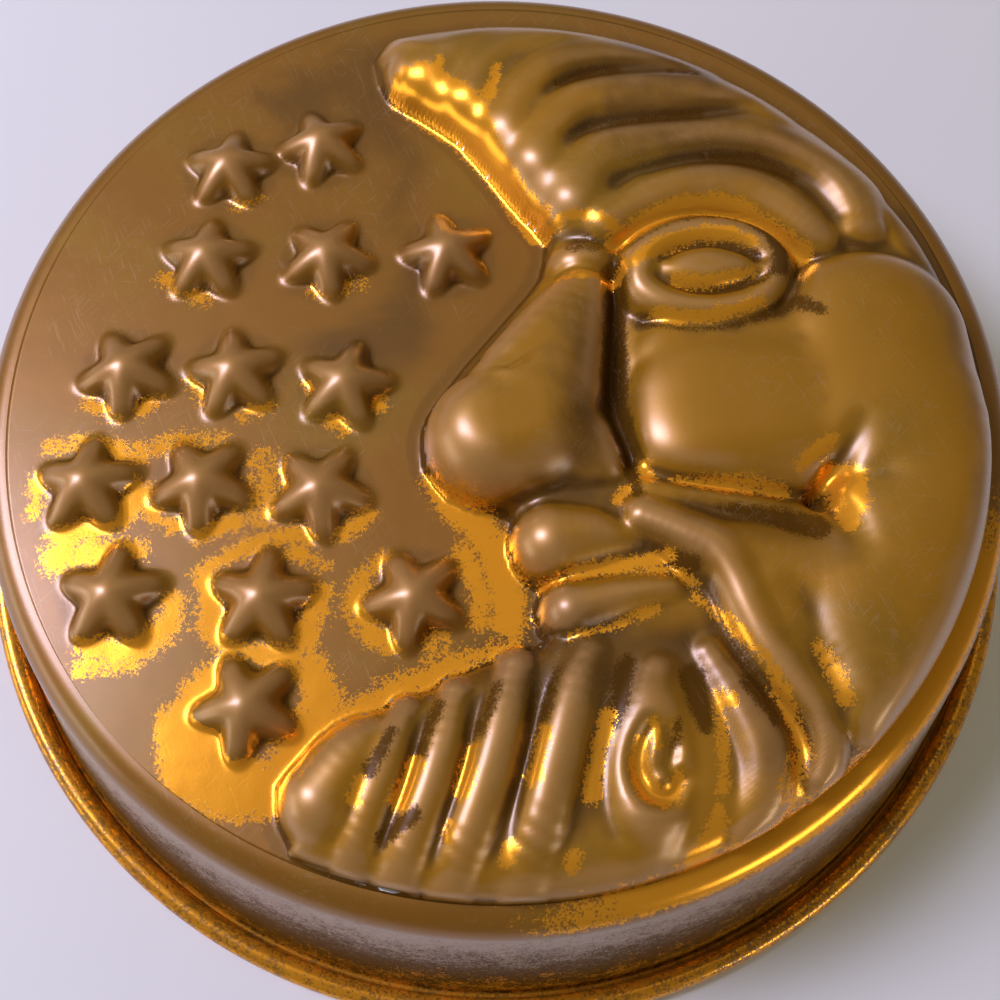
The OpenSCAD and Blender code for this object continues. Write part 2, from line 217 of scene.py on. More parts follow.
@dataclass(frozen=True)
class Pad:
    """A rounded cushion over an ellipse.

    Args:
        x: Place of its middle.
        y: Place of its middle.
        half_width: Half its size along x.
        half_depth: Half its size along y.
        high: Height of its middle.
        sharpness: 2 for a round back, more for a flatter one.
        squareness: 2 for an ellipse in plan, more for a squarer outline, less for pointed ends.
    """

    x: float
    y: float
    half_width: float
    half_depth: float
    high: float
    sharpness: float
    squareness: float

    def height(self, x: Array, y: Array) -> Array:
        """Work out the cushion's height.

        Args:
            x: Points' x in millimetres.
            y: Points' y in millimetres.

        Returns:
            The height at each point, below zero outside the cushion.
        """
        p = self.squareness
        wide, deep = np.abs((x - self.x) / self.half_width), np.abs((y - self.y) / self.half_depth)
        u = (wide**p + deep**p) ** (1 / p)
        dome = self.high * (1 - np.clip(u, 0, 1) ** self.sharpness) ** (1 / self.sharpness)
        return np.where(u < 1, dome, FALL * (1 - u) * min(self.half_width, self.half_depth))


@dataclass(frozen=True)
class Crease:
    """A soft groove pressed back into the figure.

    Args:
        path: x, y, half width and depth at points along the groove.
    """

    path: Path

    def depth(self, x: Array, y: Array) -> Array:
        """Work out the groove's depth.

        Args:
            x: Points' x in millimetres.
            y: Points' y in millimetres.

        Returns:
            The depth at each point, zero away from the groove.
        """
        pts = eased(self.path)
        near = near_path(x, y, pts, 3 * pts[:, 2])
        u, v = x[near], y[near]
        best = np.zeros(u.shape)
        for a, b in zip(pts, pts[1:]):
            d, t = along(u, v, a, b)
            best = np.maximum(best, mix(a[3], b[3], t) * np.exp(-((d / mix(a[2], b[2], t)) ** 2)))
        out = np.zeros(x.shape)
        out[near] = best
        return out


def bow(centre: Sequence[float], size: Sequence[float], start: float, stop: float, half: float,
        high: float, steps: int = 18) -> list[tuple[float, ...]]:
    """Path of a bowed ridge, part of an ellipse.

    Args:
        centre: Middle of the ellipse.
        size: Its half width and half depth.
        start: Bearing of the ridge's first end, in degrees.
        stop: Bearing of its other end, in degrees.
        half: Half width of the ridge.
        high: Height of the ridge.
        steps: Stretches of its path.

    Returns:
        The rows of its path.
    """
    return [(*point, half, high) for point in arc(centre, size, start, stop, steps)]


# Rolled locks of the hair, from the foremost to the one round the eye, and the mass under them
HAIR = [
    Ridge(2, [[-19.3, 81.5, 8.3, 8.6], [-14.5, 81, 9.6, 10.2], [-6.5, 86.3, 9, 10], [3, 89.3, 7.5, 9.5],
              [12, 90.5, 6, 9]]),
    Ridge(2, [[-5.5, 73, 9.3, 10.8], [-3, 80, 9, 11.2], [4, 85.5, 8.5, 11], [16, 88, 8.5, 10.6],
              [30, 85.5, 8, 10]]),
    Ridge(2, [[3.8, 64, 10, 12], [6.5, 71.5, 10.5, 12.6], [13, 78.5, 10, 12.4], [23, 81.5, 10, 12],
              [35, 80.5, 9.5, 11.4], [47, 76, 8.5, 10.8]]),
    Ridge(2, [[10.5, 54, 10, 12.8], [13, 62, 11, 13.3], [19, 68, 11, 13.2], [29, 71, 11, 13],
              [42, 71.5, 10.5, 12.6], [54, 68.5, 9.5, 12], [63, 64, 8.5, 11]]),
    Ridge(2, [[18.3, 43.5, 10.2, 13], [20.5, 50.5, 11.5, 13.6], [28, 55.5, 11.5, 13.6],
              [40, 58, 11, 13.5], [52, 58.5, 10.5, 13.2], [62, 56, 10, 12.8], [71, 50.5, 10, 12.3],
              [77.5, 43.5, 9.5, 11.8], [80, 36, 8.5, 10.8]]),
    Ridge(2, [[24, 37, 8, 12], [33, 42, 9.5, 13], [43, 45.5, 9.5, 13.2], [53, 45.5, 9.5, 13.2],
              [61.5, 41.5, 9, 12.8], [68, 36, 8, 12], [71.5, 32, 7, 10.5]]),
    Ridge(2, [[-15.5, 79, 8.2, 8.8], [-4, 71, 8.8, 10], [5.5, 60.5, 9.8, 11.2], [13.5, 50, 10.3, 11.8],
              [22, 41, 11, 11.6]]),
    Ridge(2.4, [[0, 80, 14, 9.6], [28, 68, 18, 11.6], [54, 58, 18, 11.8], [74, 44, 15, 11]]),
]
# Ridge, tip and wing of the nose
NOSE = [
    Ridge(2.6, [[18.3, 19.5, 7.2, 10.5], [13.5, 8, 11.5, 13.5], [7.5, -6, 15.5, 15.8]]),
    Ridge(2.2, [[-0.5, -14, 15.2, 16.8], [6, -13.5, 15, 16.2]]),
    Ridge(2, [[8, -14, 13, 15], [15, -16, 11.5, 13], [21, -19, 7.8, 10.8]]),
]
# Roll of the cheek at the back, cheekbone, and the fold from the nose down to the beard
CHEEK = [
    Ridge(2.6, [[80, 9, 22, 15], [81, -11, 22, 15.5]]),
    Ridge(2.6, [[84, -8, 19, 15.5], [88, -25, 15.5, 15.8], [84, -42, 19, 15.5]]),
    Ridge(2.6, [[40, 4, 13, 10.8], [62, 4, 13, 11.6]]),
    Ridge(2, [[29, -32.5, 6.5, 10.8], [36, -35.5, 8, 11.8], [43, -39.5, 10.5, 12.4],
              [55, -42.5, 14, 12.4], [66, -44, 18, 13.4], [80, -40, 23.5, 15.5]]),
    Ridge(2.4, [[80, -40, 23.5, 15.5], [76, -52, 22, 15], [70, -63, 16, 13.5]]),
    Ridge(2.1, [[29, -32.5, 6, 10.8], [36, -35.5, 6.5, 12], [42.5, -39, 7, 13], [46, -45, 7, 13.2],
                [48.5, -52, 7, 13.2], [51.5, -59, 6.8, 13], [56, -65.5, 6.3, 12.4],
                [59.5, -71, 5.8, 11.6], [61, -77, 5.4, 10.4], [60, -83, 4.8, 8.5]]),
]
# Upper and lower lip
LIPS = [
    Ridge(2.1, [[11.3, -36.8, 9.2, 11.2], [18.5, -36.2, 7.4, 10.4], [26.5, -36.8, 4.2, 8.8]]),
    Ridge(2.1, [[14.5, -51.2, 7, 10.4], [24, -48.8, 5.6, 9.8], [34, -47.2, 3.8, 8.8]]),
]
# Upper and lower lid
LIDS = [
    Ridge(2, bow((45.3, 23.8), (14.6, 9.2), 6, 174, 6.6, 12.6)),
    Ridge(2, bow((45, 22.6), (14.6, 8.9), 188, 352, 6.4, 12.3)),
]
# Corners of the eye, and the soft stretches round mouth, chin and beard
FLESH = [
    Ridge(2, [[32, 24, 3.6, 12], [36, 24.3, 1.8, 11.6]]),
    Ridge(2, [[59, 23, 3.6, 12], [54.8, 22.9, 1.8, 11.6]]),
    Ridge(2.2, [[52, -48, 9, 12.4], [57, -58, 8.5, 12.2], [61.5, -68, 6.5, 11]]),
    Ridge(2.2, [[32, -27, 7, 9], [48, -28, 9, 10.6], [64, -30, 12, 11]]),
    Ridge(2.4, [[30, -50, 12, 7.5], [45, -52, 12, 7.5]]),
    Ridge(3, [[20, -66, 14, 8], [40, -76, 18, 8]]),
]
# Locks of the beard, from the foremost to the hindmost, the curled one among them
BEARD = [
    Ridge(2.1, [[-32.5, -87, 9, 10.5], [-27.5, -80, 8, 9.8], [-23.5, -75.5, 5, 7.5]]),
    Ridge(2.3, [[-17.5, -71, 4, 6.8], [-19.8, -77, 5.2, 9.2], [-22.5, -85, 5.6, 9.8],
                [-25.5, -93, 5.4, 8.6], [-27, -97, 5, 6]]),
    Ridge(2.3, [[-8, -68, 4.5, 7.5], [-10.3, -77, 5.6, 10], [-13, -86, 5.8, 10.2], [-16.5, -95, 5.8, 9],
                [-18.5, -100, 5.4, 6]]),
    Ridge(2.3, [[3.5, -63, 5, 8.5], [0.8, -73, 6, 10.5], [-2, -83, 6.2, 10.6], [-6, -94, 6.2, 9.6],
                [-9, -101, 5.8, 6]]),
    Ridge(2.3, [[17.5, -60, 5.6, 9], [14, -69, 6.2, 10.8], [11, -79, 6.4, 11], [8, -90, 6.4, 10.2],
                [4, -101, 6.2, 6]]),
    Ridge(2.2, [[29.8, -64, 6, 9.6], [28.8, -72, 8.6, 10.6], [28.3, -81, 10, 11], [27.5, -88, 9.4, 10.6],
                [27, -93, 7, 8]]),
    Ridge(2.2, [[40.5, -60, 5, 9], [45.5, -69, 6.4, 10.2], [49, -78, 7, 10.6], [48.5, -85, 6.6, 9.6],
                [45.5, -92, 5.6, 7]]),
]
# Middle of the cheek, knob between brow and nose, eyeball, bed of the lids, and eye socket
PADS = [
    Pad(54, -9, 27.4, 18.4, 13.6, 3.2, 3),
    Pad(19.4, 27.8, 9, 6.2, 9.6, 2.2, 2),
    Pad(45.2, 23.2, 16.2, 7.2, 13.2, 2.6, 1.6),
    Pad(45.2, 23.6, 15.5, 10, 11.5, 2.6, 2),
    Pad(45.8, 23.5, 18, 14.6, 9.8, 2.4, 2.2),
]
# Grooves: the eye's opening, under the cheek, beside the nose, between locks, and in the curl
CREASES = [
    Crease([[34.2, 23.6, 0.8, 0.3], [37, 26.2, 0.8, 0.6], [40.1, 27.8, 0.8, 0.7], [45.7, 28.8, 0.8, 0.7],
            [51.2, 28.1, 0.8, 0.6], [56, 25.4, 0.8, 0.3]]),
    Crease([[37.4, 19.2, 0.8, 0.3], [40.6, 17.9, 0.8, 0.6], [44.9, 17.5, 0.8, 0.7],
            [50.4, 18.5, 0.8, 0.6], [56, 20.3, 0.8, 0.3]]),
    Crease([[30, -23.5, 1.4, 1.4], [38, -25.3, 1.4, 1.8], [50, -27, 1.6, 2.2], [64.5, -28.6, 2, 2.6]]),
    Crease([[40, -30, 5, 0.8], [52, -31, 6, 1.6], [62, -31.5, 6.5, 2.8]]),
    Crease([[64.5, -28.6, 2, 2.6], [68.5, -22.5, 2.4, 2.2], [73, -14.5, 3, 0.8]]),
    Crease([[64.5, -28.6, 2, 2.6], [68, -34.5, 2.8, 2], [70.5, -41, 3.2, 0.6]]),
    Crease([[58, -58, 3, 0.4], [61.5, -64, 3.4, 1.3], [64, -71, 3, 1.1]]),
    Crease([[25.8, 23, 1.8, 2.2], [24.3, 5, 2.2, 2.8], [24.2, -8, 2.2, 3], [27, -20, 1.8, 2.8]]),
    Crease([[12, 70.5, 1.8, 0.6], [19, 75, 2.2, 1.6], [30, 77, 2.4, 1.4], [43, 77, 2.4, 0.8]]),
    Crease([[16, 57, 1.8, 0.6], [22, 60.5, 2, 1.6], [34, 62.3, 2.2, 1.8], [46, 63.5, 2.4, 1.8],
            [58, 66, 2.4, 0.8]]),
    Crease([[34, 48, 1.8, 0.5], [42, 51.5, 2.2, 1.3], [52, 52.3, 2.6, 2], [62, 50.5, 3, 2.4],
            [70, 45.5, 3.4, 2.4], [74.5, 38.5, 3.2, 1.6]]),
    Crease([[28, -74, 1.7, 1.4], [26.2, -77.5, 2, 2.4], [25.6, -82, 2.3, 3], [27.4, -86, 2.4, 3],
            [30.8, -86.8, 2.4, 2.8], [33, -84, 2, 2]]),
    Crease([[31, -74.5, 1.5, 1.4], [31.8, -78, 1.9, 2], [31, -81, 1.9, 1.8]]),
    Crease([[29.4, -76, 3.4, 0.8], [29.2, -82, 4.4, 1.5]]),
]
# The crescent's front edge from the tip of the hair to the tip of the beard
FRONT = [
    [-27, 94.4], [-30, 88], [-28.5, 81], [-25, 76.2], [-16.8, 70], [-7.5, 63], [-4, 58], [1.2, 50.4],
    [5.2, 44.4], [9.5, 38.8], [11.2, 35.8], [11, 32.5], [10.6, 29.5], [9.6, 26], [7, 22], [-7, 4],
    [-12.5, -4], [-15.8, -12], [-15.4, -19.5], [-10.5, -26], [3, -30.5], [3.2, -34.5], [4.8, -39.5],
    [9.2, -44.5], [8.4, -49], [10.4, -54], [14, -57], [6, -58.5], [-5, -62.3], [-15, -67],
    [-25, -71.6], [-35, -76.8], [-42, -84.5], [-41.2, -91], [-38.6, -95.4],
]


@dataclass(frozen=True)
class Crescent:
    """The pressed crescent face.

    Args:
        arc_centre: Centre of the arc at its back.
        arc_radius: Radius of that arc.
        blend: Softness of the hollows between neighbouring forms.
        back_blend: Softness where the forms run into the slope at the back.
        closing: Half size of the round by which the front edge is closed, well outside the back.
    """

    arc_centre: tuple[float, float] = (1.5, -3.2)
    arc_radius: float = 101.9
    blend: float = 0.7
    back_blend: float = 0.8
    closing: float = 120.0

    def from_back(self, x: Array, y: Array) -> Array:
        """Distance in from the arc at the back."""
        return self.arc_radius - np.hypot(x - self.arc_centre[0], y - self.arc_centre[1])

    def from_front(self, x: Array, y: Array) -> Array:
        """Measure the distance in from the front edge.

        Args:
            x: Points' x in millimetres.
            y: Points' y in millimetres.

        Returns:
            The distance, below zero outside the crescent.
        """
        d = np.min([along(x, y, a, b)[0] for a, b in zip(FRONT, FRONT[1:])], axis=0)
        loop = FRONT[::-1] + arc(self.arc_centre, (self.closing, self.closing), 102, -112.5, 59)
        inside = np.zeros(x.shape, bool)
        for (ax, ay), (bx, by) in zip(loop, loop[1:] + loop[:1]):
            crosses = (ay > y) != (by > y)
            at = ax + (y - ay) * (bx - ax) / (by - ay if by != ay else 1e-9)
            inside ^= crosses & (x < at)
        return np.where(inside, d, -d)

    def base(self, x: Array, y: Array) -> Array:
        """Work out the low base of the figure, rounded down to its edge and softer in the hair.

        Args:
            x: Points' x in millimetres.
            y: Points' y in millimetres.

        Returns:
            The height at each point, below zero outside the crescent.
        """
        soft = np.clip((y - 36) / 16, 0, 1)
        wide, high = 8 + 8 * soft, 7 + 3.2 * soft
        d = np.minimum(self.from_front(x, y), self.from_back(x, y))
        rise = high * (1 - (1 - np.clip(d / wide, 0, 1)) ** 2) ** (0.5 + 0.25 * soft)
        return np.where(d > 0, rise, FALL * d)

    def back(self, x: Array, y: Array) -> Array:
        """Work out the slope at the back: steep by the cheek, long and easy behind the hair.

        Args:
            x: Points' x in millimetres.
            y: Points' y in millimetres.

        Returns:
            The highest that the figure may be at each point.
        """
        bearing = np.degrees(np.arctan2(y - self.arc_centre[1], x - self.arc_centre[0]))
        easy, low = np.clip((bearing - 12) / 33, 0, 1), np.clip((-20 - bearing) / 40, 0, 1)
        wide, high = 10 + 9 * easy + 3 * low, 16.5 - 2.5 * easy
        d = self.from_back(x, y)
        rise = high * (1 - (1 - np.clip(d / wide, 0, 1)) ** 2) ** (0.5 + 0.5 * easy)
        return np.where(d > 0, rise, FALL * d)

    def height(self, x: Array, y: Array) -> Array:
        """Work out the height of the whole figure over the flat top.

        Args:
            x: Points' x in millimetres.
            y: Points' y in millimetres.

        Returns:
            The height at each point, below zero outside the figure.
        """
        forms = [self.base(x, y)]
        for group in (HAIR, NOSE, CHEEK, LIPS, LIDS, FLESH, BEARD, PADS):
            forms += [form.height(x, y) for form in group]
        raised = soft_max(forms, self.blend) - sum(crease.depth(x, y) for crease in CREASES)
        return soft_min(raised, self.back(x, y), self.back_blend)


@dataclass(frozen=True)
class Star:
    """One pressed star.

    Args:
        x: Place of its middle.
        y: Place of its middle.
        bearing: Bearing of one point, in degrees.
        width: Size across the circle through its points.
        waist: Size across the circle through its inner corners.
        high: Height of its middle.
    """

    x: float
    y: float
    bearing: float
    width: float = 22.6
    waist: float = 14.2
    high: float = 6.0

    def height(self, x: Array, y: Array) -> Array:
        """Work out the star's height over the flat top.

        Args:
            x: Points' x in millimetres.
            y: Points' y in millimetres.

        Returns:
            The height at each point, below zero outside the star.
        """
        u, v = x - self.x, y - self.y
        r = np.hypot(u, v)
        lobe = ((1 + np.cos(5 * (np.arctan2(v, u) - math.radians(self.bearing)))) / 2) ** 1.15
        edge = mix(self.waist, self.width, lobe) / 2
        middle = (self.waist + self.width) / 4
        share = r / mix(middle, edge, np.clip(r / edge, 0, 1) ** 1.5)
        rise = self.high * (1 - np.clip(share, 0, 1) ** 1.7) ** 0.85
        return np.where(share < 1, rise, FALL * (edge - r))


STARS = tuple(
    Star(*star) for star in (
        (-62.5, 56, 15), (-41.5, 62.5, 40), (-65.5, 31.5, 17), (-38.5, 32, 63), (-11.5, 33, 33),
        (-80.3, 3, 50), (-57, 2.7, 28), (-33, 0, 6), (-85.5, -23.2, 18), (-61.7, -23, 53),
        (-37, -24.6, 61), (-77.5, -47.2, 17), (-47.4, -47.8, 14), (-17, -47.7, 45), (-48.8, -69.3, 45),
    )
)


@dataclass(frozen=True)
class PressedRelief:
    """Everything that is pressed up out of the flat top.

    Args:
        crescent: The crescent face.
        stars: The stars in front of it.
        foot: Radius with which the figures' feet run out into the flat sheet.
        lift: Share of the drawn heights that is pressed.
        slope_step: Distance to each side at which the slope is measured.
    """

    crescent: Crescent = Crescent()
    stars: Sequence[Star] = STARS
    foot: float = 0.55
    lift: float = 1.0
    slope_step: float = 0.25

    def height(self, x: Array, y: Array) -> Array:
        """Height of the outer skin over the flat top, zero on the flat."""
        forms = [self.crescent.height(x, y)] + [star.height(x, y) for star in self.stars]
        return self.lift * soft_max(forms + [np.zeros(x.shape)], self.foot)

    def slope(self, x: Array, y: Array) -> tuple[Array, Array]:
        """Measure the slope of the outer skin.

        Args:
            x: Points' x in millimetres.
            y: Points' y in millimetres.

        Returns:
            The rise for each millimetre along x, and along y.
        """
        s = self.slope_step
        gx = (self.height(x + s, y) - self.height(x - s, y)) / (2 * s)
        gy = (self.height(x, y + s) - self.height(x, y - s)) / (2 * s)
        return gx, gy

    def hollowness(self, x: Array, y: Array, reach: float) -> Array:
        """Measure how far the skin lies below its surroundings.

        Args:
            x: Points' x in millimetres.
            y: Points' y in millimetres.
            reach: Distance at which the surroundings are measured, in eight directions.

        Returns:
            The depth in millimetres, below zero on crests.
        """
        ring = [self.height(x + u, y + v) for u, v in arc((0, 0), (reach, reach), 0, 315, 7)]
        return np.mean(ring, axis=0) - self.height(x, y)


@dataclass(frozen=True)
class Body:
    """Sizes of the turned body, the same as those of the solid model.

    Args:
        width: Size across the rim.
        plate_height: Height of the flat top's outer skin.
        sheet: Thickness of the copper.
        lean: How far the wall leans in from the upright, in degrees.
        shoulder_radius: Outer radius of the shoulder.
        bead: Size across the rolled bead.
        gap: Gap between the wall and the bead.
        turn: How far the sheet is rolled round, in degrees.
        foot_radius: Radius of the bend at the wall's foot, on its hollow side.
        bead_play: How far the bead keeps inside its size, so that the shown rim fits the solid one.
    """

    width: float = 260.0
    plate_height: float = 54.0
    sheet: float = 0.8
    lean: float = 14.0
    shoulder_radius: float = 6.5
    bead: float = 5.2
    gap: float = 1.4
    turn: float = 290.0
    foot_radius: float = 0.7
    bead_play: float = 0.004

    @property
    def bead_centre(self) -> tuple[float, float]:
        """Radius and height of the middle of the rolled bead."""
        return self.width / 2 - self.bead / 2, self.bead / 2

    @property
    def wall_at_bead(self) -> float:
        """Outer radius of the wall at the height of the bead's middle."""
        return self.bead_centre[0] - self.bead / 2 - self.gap

    @property
    def shoulder_centre(self) -> tuple[float, float]:
        """Radius and height of the middle of the rounded shoulder."""
        a = math.radians(self.lean)
        z = self.plate_height - self.shoulder_radius
        rise = z + self.shoulder_radius * math.sin(a) - self.bead / 2
        return self.wall_at_bead - rise * math.tan(a) - self.shoulder_radius * math.cos(a), z

    @property
    def foot_centre(self) -> tuple[float, float]:
        """Radius and height of the middle of the bend at the wall's foot."""
        a = math.radians(self.lean)
        z = self.sheet + self.foot_radius
        drop = self.bead / 2 - z + self.foot_radius * math.sin(a)
        return self.wall_at_bead + drop * math.tan(a) + self.foot_radius * math.cos(a), z

    def section(self) -> list[list[tuple[float, float]]]:
        """Draw the closed outline of the wall and rim, from the flat top's edge round to its underside.

        Returns:
            Six arcs of radius and height: the shoulder, foot and bead on one side of the sheet as far
            as its lip, and the bead, foot and shoulder on the other side.
        """
        end, foot_start = self.turn - 90, 180 + self.lean
        bead, foot, shoulder = self.bead / 2 - self.bead_play, self.foot_radius, self.shoulder_radius
        rows = (
            (self.shoulder_centre, shoulder, 90, self.lean, 16),
            (self.foot_centre, foot, foot_start, 270, 6),
            (self.bead_centre, bead - self.sheet, -90, end, 26),
            (self.bead_centre, bead, end, -90, 36),
            (self.foot_centre, foot + self.sheet, 270, foot_start, 6),
            (self.shoulder_centre, shoulder - self.sheet, self.lean, 90, 12),
        )
        return [arc(centre, (radius, radius), *bearings) for centre, radius, *bearings in rows]


def new_mesh(name: str, points: Array, faces: Sequence[Sequence[int]],
             slots: Sequence[int]) -> bpy.types.Object:
    """Make a smooth-shaded mesh object from points in millimetres.

    Args:
        name: Name of the piece.
        points: One row of three numbers for each point.
        faces: Corner numbers of each face.
        slots: Finish slot of each face.

    Returns:
        The object, linked into the scene.
    """
    mesh = bpy.data.meshes.new(name)
    mesh.from_pydata((np.asarray(points) * MM).tolist(), [], [list(f) for f in faces])
    mesh.polygons.foreach_set("use_smooth", np.ones(len(mesh.polygons), bool))
    mesh.polygons.foreach_set("material_index", np.asarray(slots, np.int32))
    mesh.update()
    obj = bpy.data.objects.new(name, mesh)
    bpy.context.scene.collection.objects.link(obj)
    return obj


def put_values(obj: bpy.types.Object, name: str, values: Array) -> None:
    """Store one number for each point on a mesh, for its finish to read."""
    made = obj.data.attributes.new(name, "FLOAT", "POINT")
    made.data.foreach_set("value", np.asarray(values, np.float32))


class Slot(Enum):
    """Finish slots of the sheet."""

    OUTSIDE = 0
    INSIDE = 1


# What a finish's value is away from all its areas, and the most it is inside one
LEAST = -2.0
MOST = 1.5


@dataclass(frozen=True)
class Stretch:
    """An area of one finish along a path.

    Args:
        path: x, y and half width at points along it.
        most: Highest value that the area reaches, low where only specks of the finish show.
    """

    path: Path
    most: float = 1.0

    def amount(self, x: Array, y: Array, edge: float) -> Array:
        """Measure how far inside the area the points lie.

        Args:
            x: Points' x in millimetres.
            y: Points' y in millimetres.
            edge: Width over which the finish fades, in millimetres.

        Returns:
            The distance in shares of that width, below 0 outside the area.
        """
        out = np.full(x.shape, LEAST)
        for a, b in zip(self.path, self.path[1:]):
            d, t = along(x, y, a, b)
            out = np.maximum(out, (mix(a[2], b[2], t) - d) / edge)
        return np.minimum(out, self.most)


def covered(areas: Sequence[Stretch], x: Array, y: Array, edge: float) -> Array:
    """Find the highest amount of several areas.

    Args:
        areas: The areas of one finish.
        x: Points' x in millimetres.
        y: Points' y in millimetres.
        edge: Width over which the finish fades, in millimetres.

    Returns:
        The amount at each point.
    """
    return np.clip(np.max([area.amount(x, y, edge) for area in areas], axis=0), LEAST, MOST)


# Bare metal on the flat sheet, round the stars and along the front of the shoulder; it also paints the
# orange reflection that the copper throws into these hollows and feet
BARE_AND_GLOW_SKY = [
    Stretch([[-75, -25, 2.7], [-78, -30, 2.7], [-84, -33, 2.4], [-90, -34, 2.2]]),
    Stretch([[-90, -39, 3.2], [-82, -37.5, 2.6], [-74, -37, 2]], 0.5),
    Stretch([[-73, -28, 1.4], [-70, -31, 1.5], [-66, -32, 1.4]]),
    Stretch([[-61, -34, 1.6], [-54, -31, 1.7]], 0.5),
    Stretch([[-59, -41, 1.4], [-54, -38, 1.6], [-48, -35, 1.5]], 0.5),
    Stretch([[-45, -34, 1.8], [-39, -34, 1.9]]),
    Stretch([[-42, -37, 1.5], [-36, -41, 1.3]], 0.3),
    Stretch([[-32, -34, 1.5], [-27, -29.5, 1.7]], 0.5),
    Stretch([[-45, -19, 1.2], [-44, -25, 1.2]], 0.5),
    Stretch([[-50, -18, 3], [-48.5, -29, 2.6]], 0.02),
    Stretch([[-94, -14, 1.6], [-84, -14, 1.4], [-78, -16, 1.5], [-69, -13, 1.6], [-59, -12, 1.2]], 0.15),
    Stretch([[-60, -43, 2.5], [-58, -47, 2.3], [-58, -51, 2.6], [-55, -56, 2]]),
    Stretch([[-54, -57.5, 1.7], [-47, -58.5, 2], [-41, -59, 2]]),
    Stretch([[-39, -57, 2.2], [-37.5, -51, 2.5], [-36, -46, 2]]),
    Stretch([[-82, -57, 2], [-75, -58.5, 2.1], [-70, -57, 2.3], [-66, -53, 2.4], [-65.5, -48, 2]], 0.7),
    Stretch([[-82, -62, 1.5], [-72, -61, 1.3]], 0.1),
    Stretch([[-55, -62, 2.4], [-59, -67, 3.4], [-61, -74, 5.6], [-58, -80, 7.4], [-52, -84, 6.4],
             [-44, -85, 5]]),
    Stretch([[-37, -62, 3], [-35, -67, 4], [-35, -73, 4.8], [-40, -80, 4]]),
    Stretch([[-38, -76, 3.4], [-29, -71, 3], [-21, -66.5, 2.6], [-12, -62.5, 2.4], [-4, -59, 1.8],
             [3, -57, 1.6]]),
    Stretch([[-24, -39, 1.5], [-28, -44, 1.9], [-29, -48, 2], [-26, -54, 2], [-21.5, -57.5, 1.6]], 0.8),
    Stretch([[-15, -22, 1.6], [-11, -27, 2.6], [-4, -32, 3.2], [-0.5, -38, 3.6], [1, -45, 3.8],
             [2, -52, 3.6]], 0.7),
    Stretch([[-7, -38, 2], [-4, -45, 2.2], [-3, -52, 2]], 0.5),
    Stretch([[-12, -56.5, 2], [-13, -61, 1.6]], 0.1),
    Stretch([[-60, 47, 1.3], [-56, 48.5, 1]], 0.1),
    Stretch([[-75, 27, 1.2], [-72, 24.5, 1.2], [-66, 21.5, 1.3]], 0.3),
    Stretch([[-41, 23.5, 1.3], [-35, 24.5, 1.1], [-30.5, 26, 1]], 0.3),
    Stretch([[-88, -4, 1.3], [-82, -7, 1]], 0.4),
    Stretch([[-77, -6, 1.3], [-73, -2, 1.4]], 0.6),
    Stretch([[-66, 1, 1.2], [-63, -4.5, 1.1]], 0.5),
    Stretch([[-55, -7, 1.2], [-50, -4.5, 1.3]], 0.5),
    Stretch([[-41, 0.5, 1.2], [-38.5, -5, 1.3], [-33, -9.5, 1.4]]),
    Stretch([[-26, -4, 1.4], [-25, 1.5, 1]], 0.6),
    Stretch([[-96, -22, 1.5], [-96, -29, 1.4]], 0.6),
    Stretch([[14, -106.4, 1.2], [30, -103, 1.8], [48, -96, 2.2], [64, -86, 2], [78, -72.5, 1.4],
             [90, -57, 1]]),
]
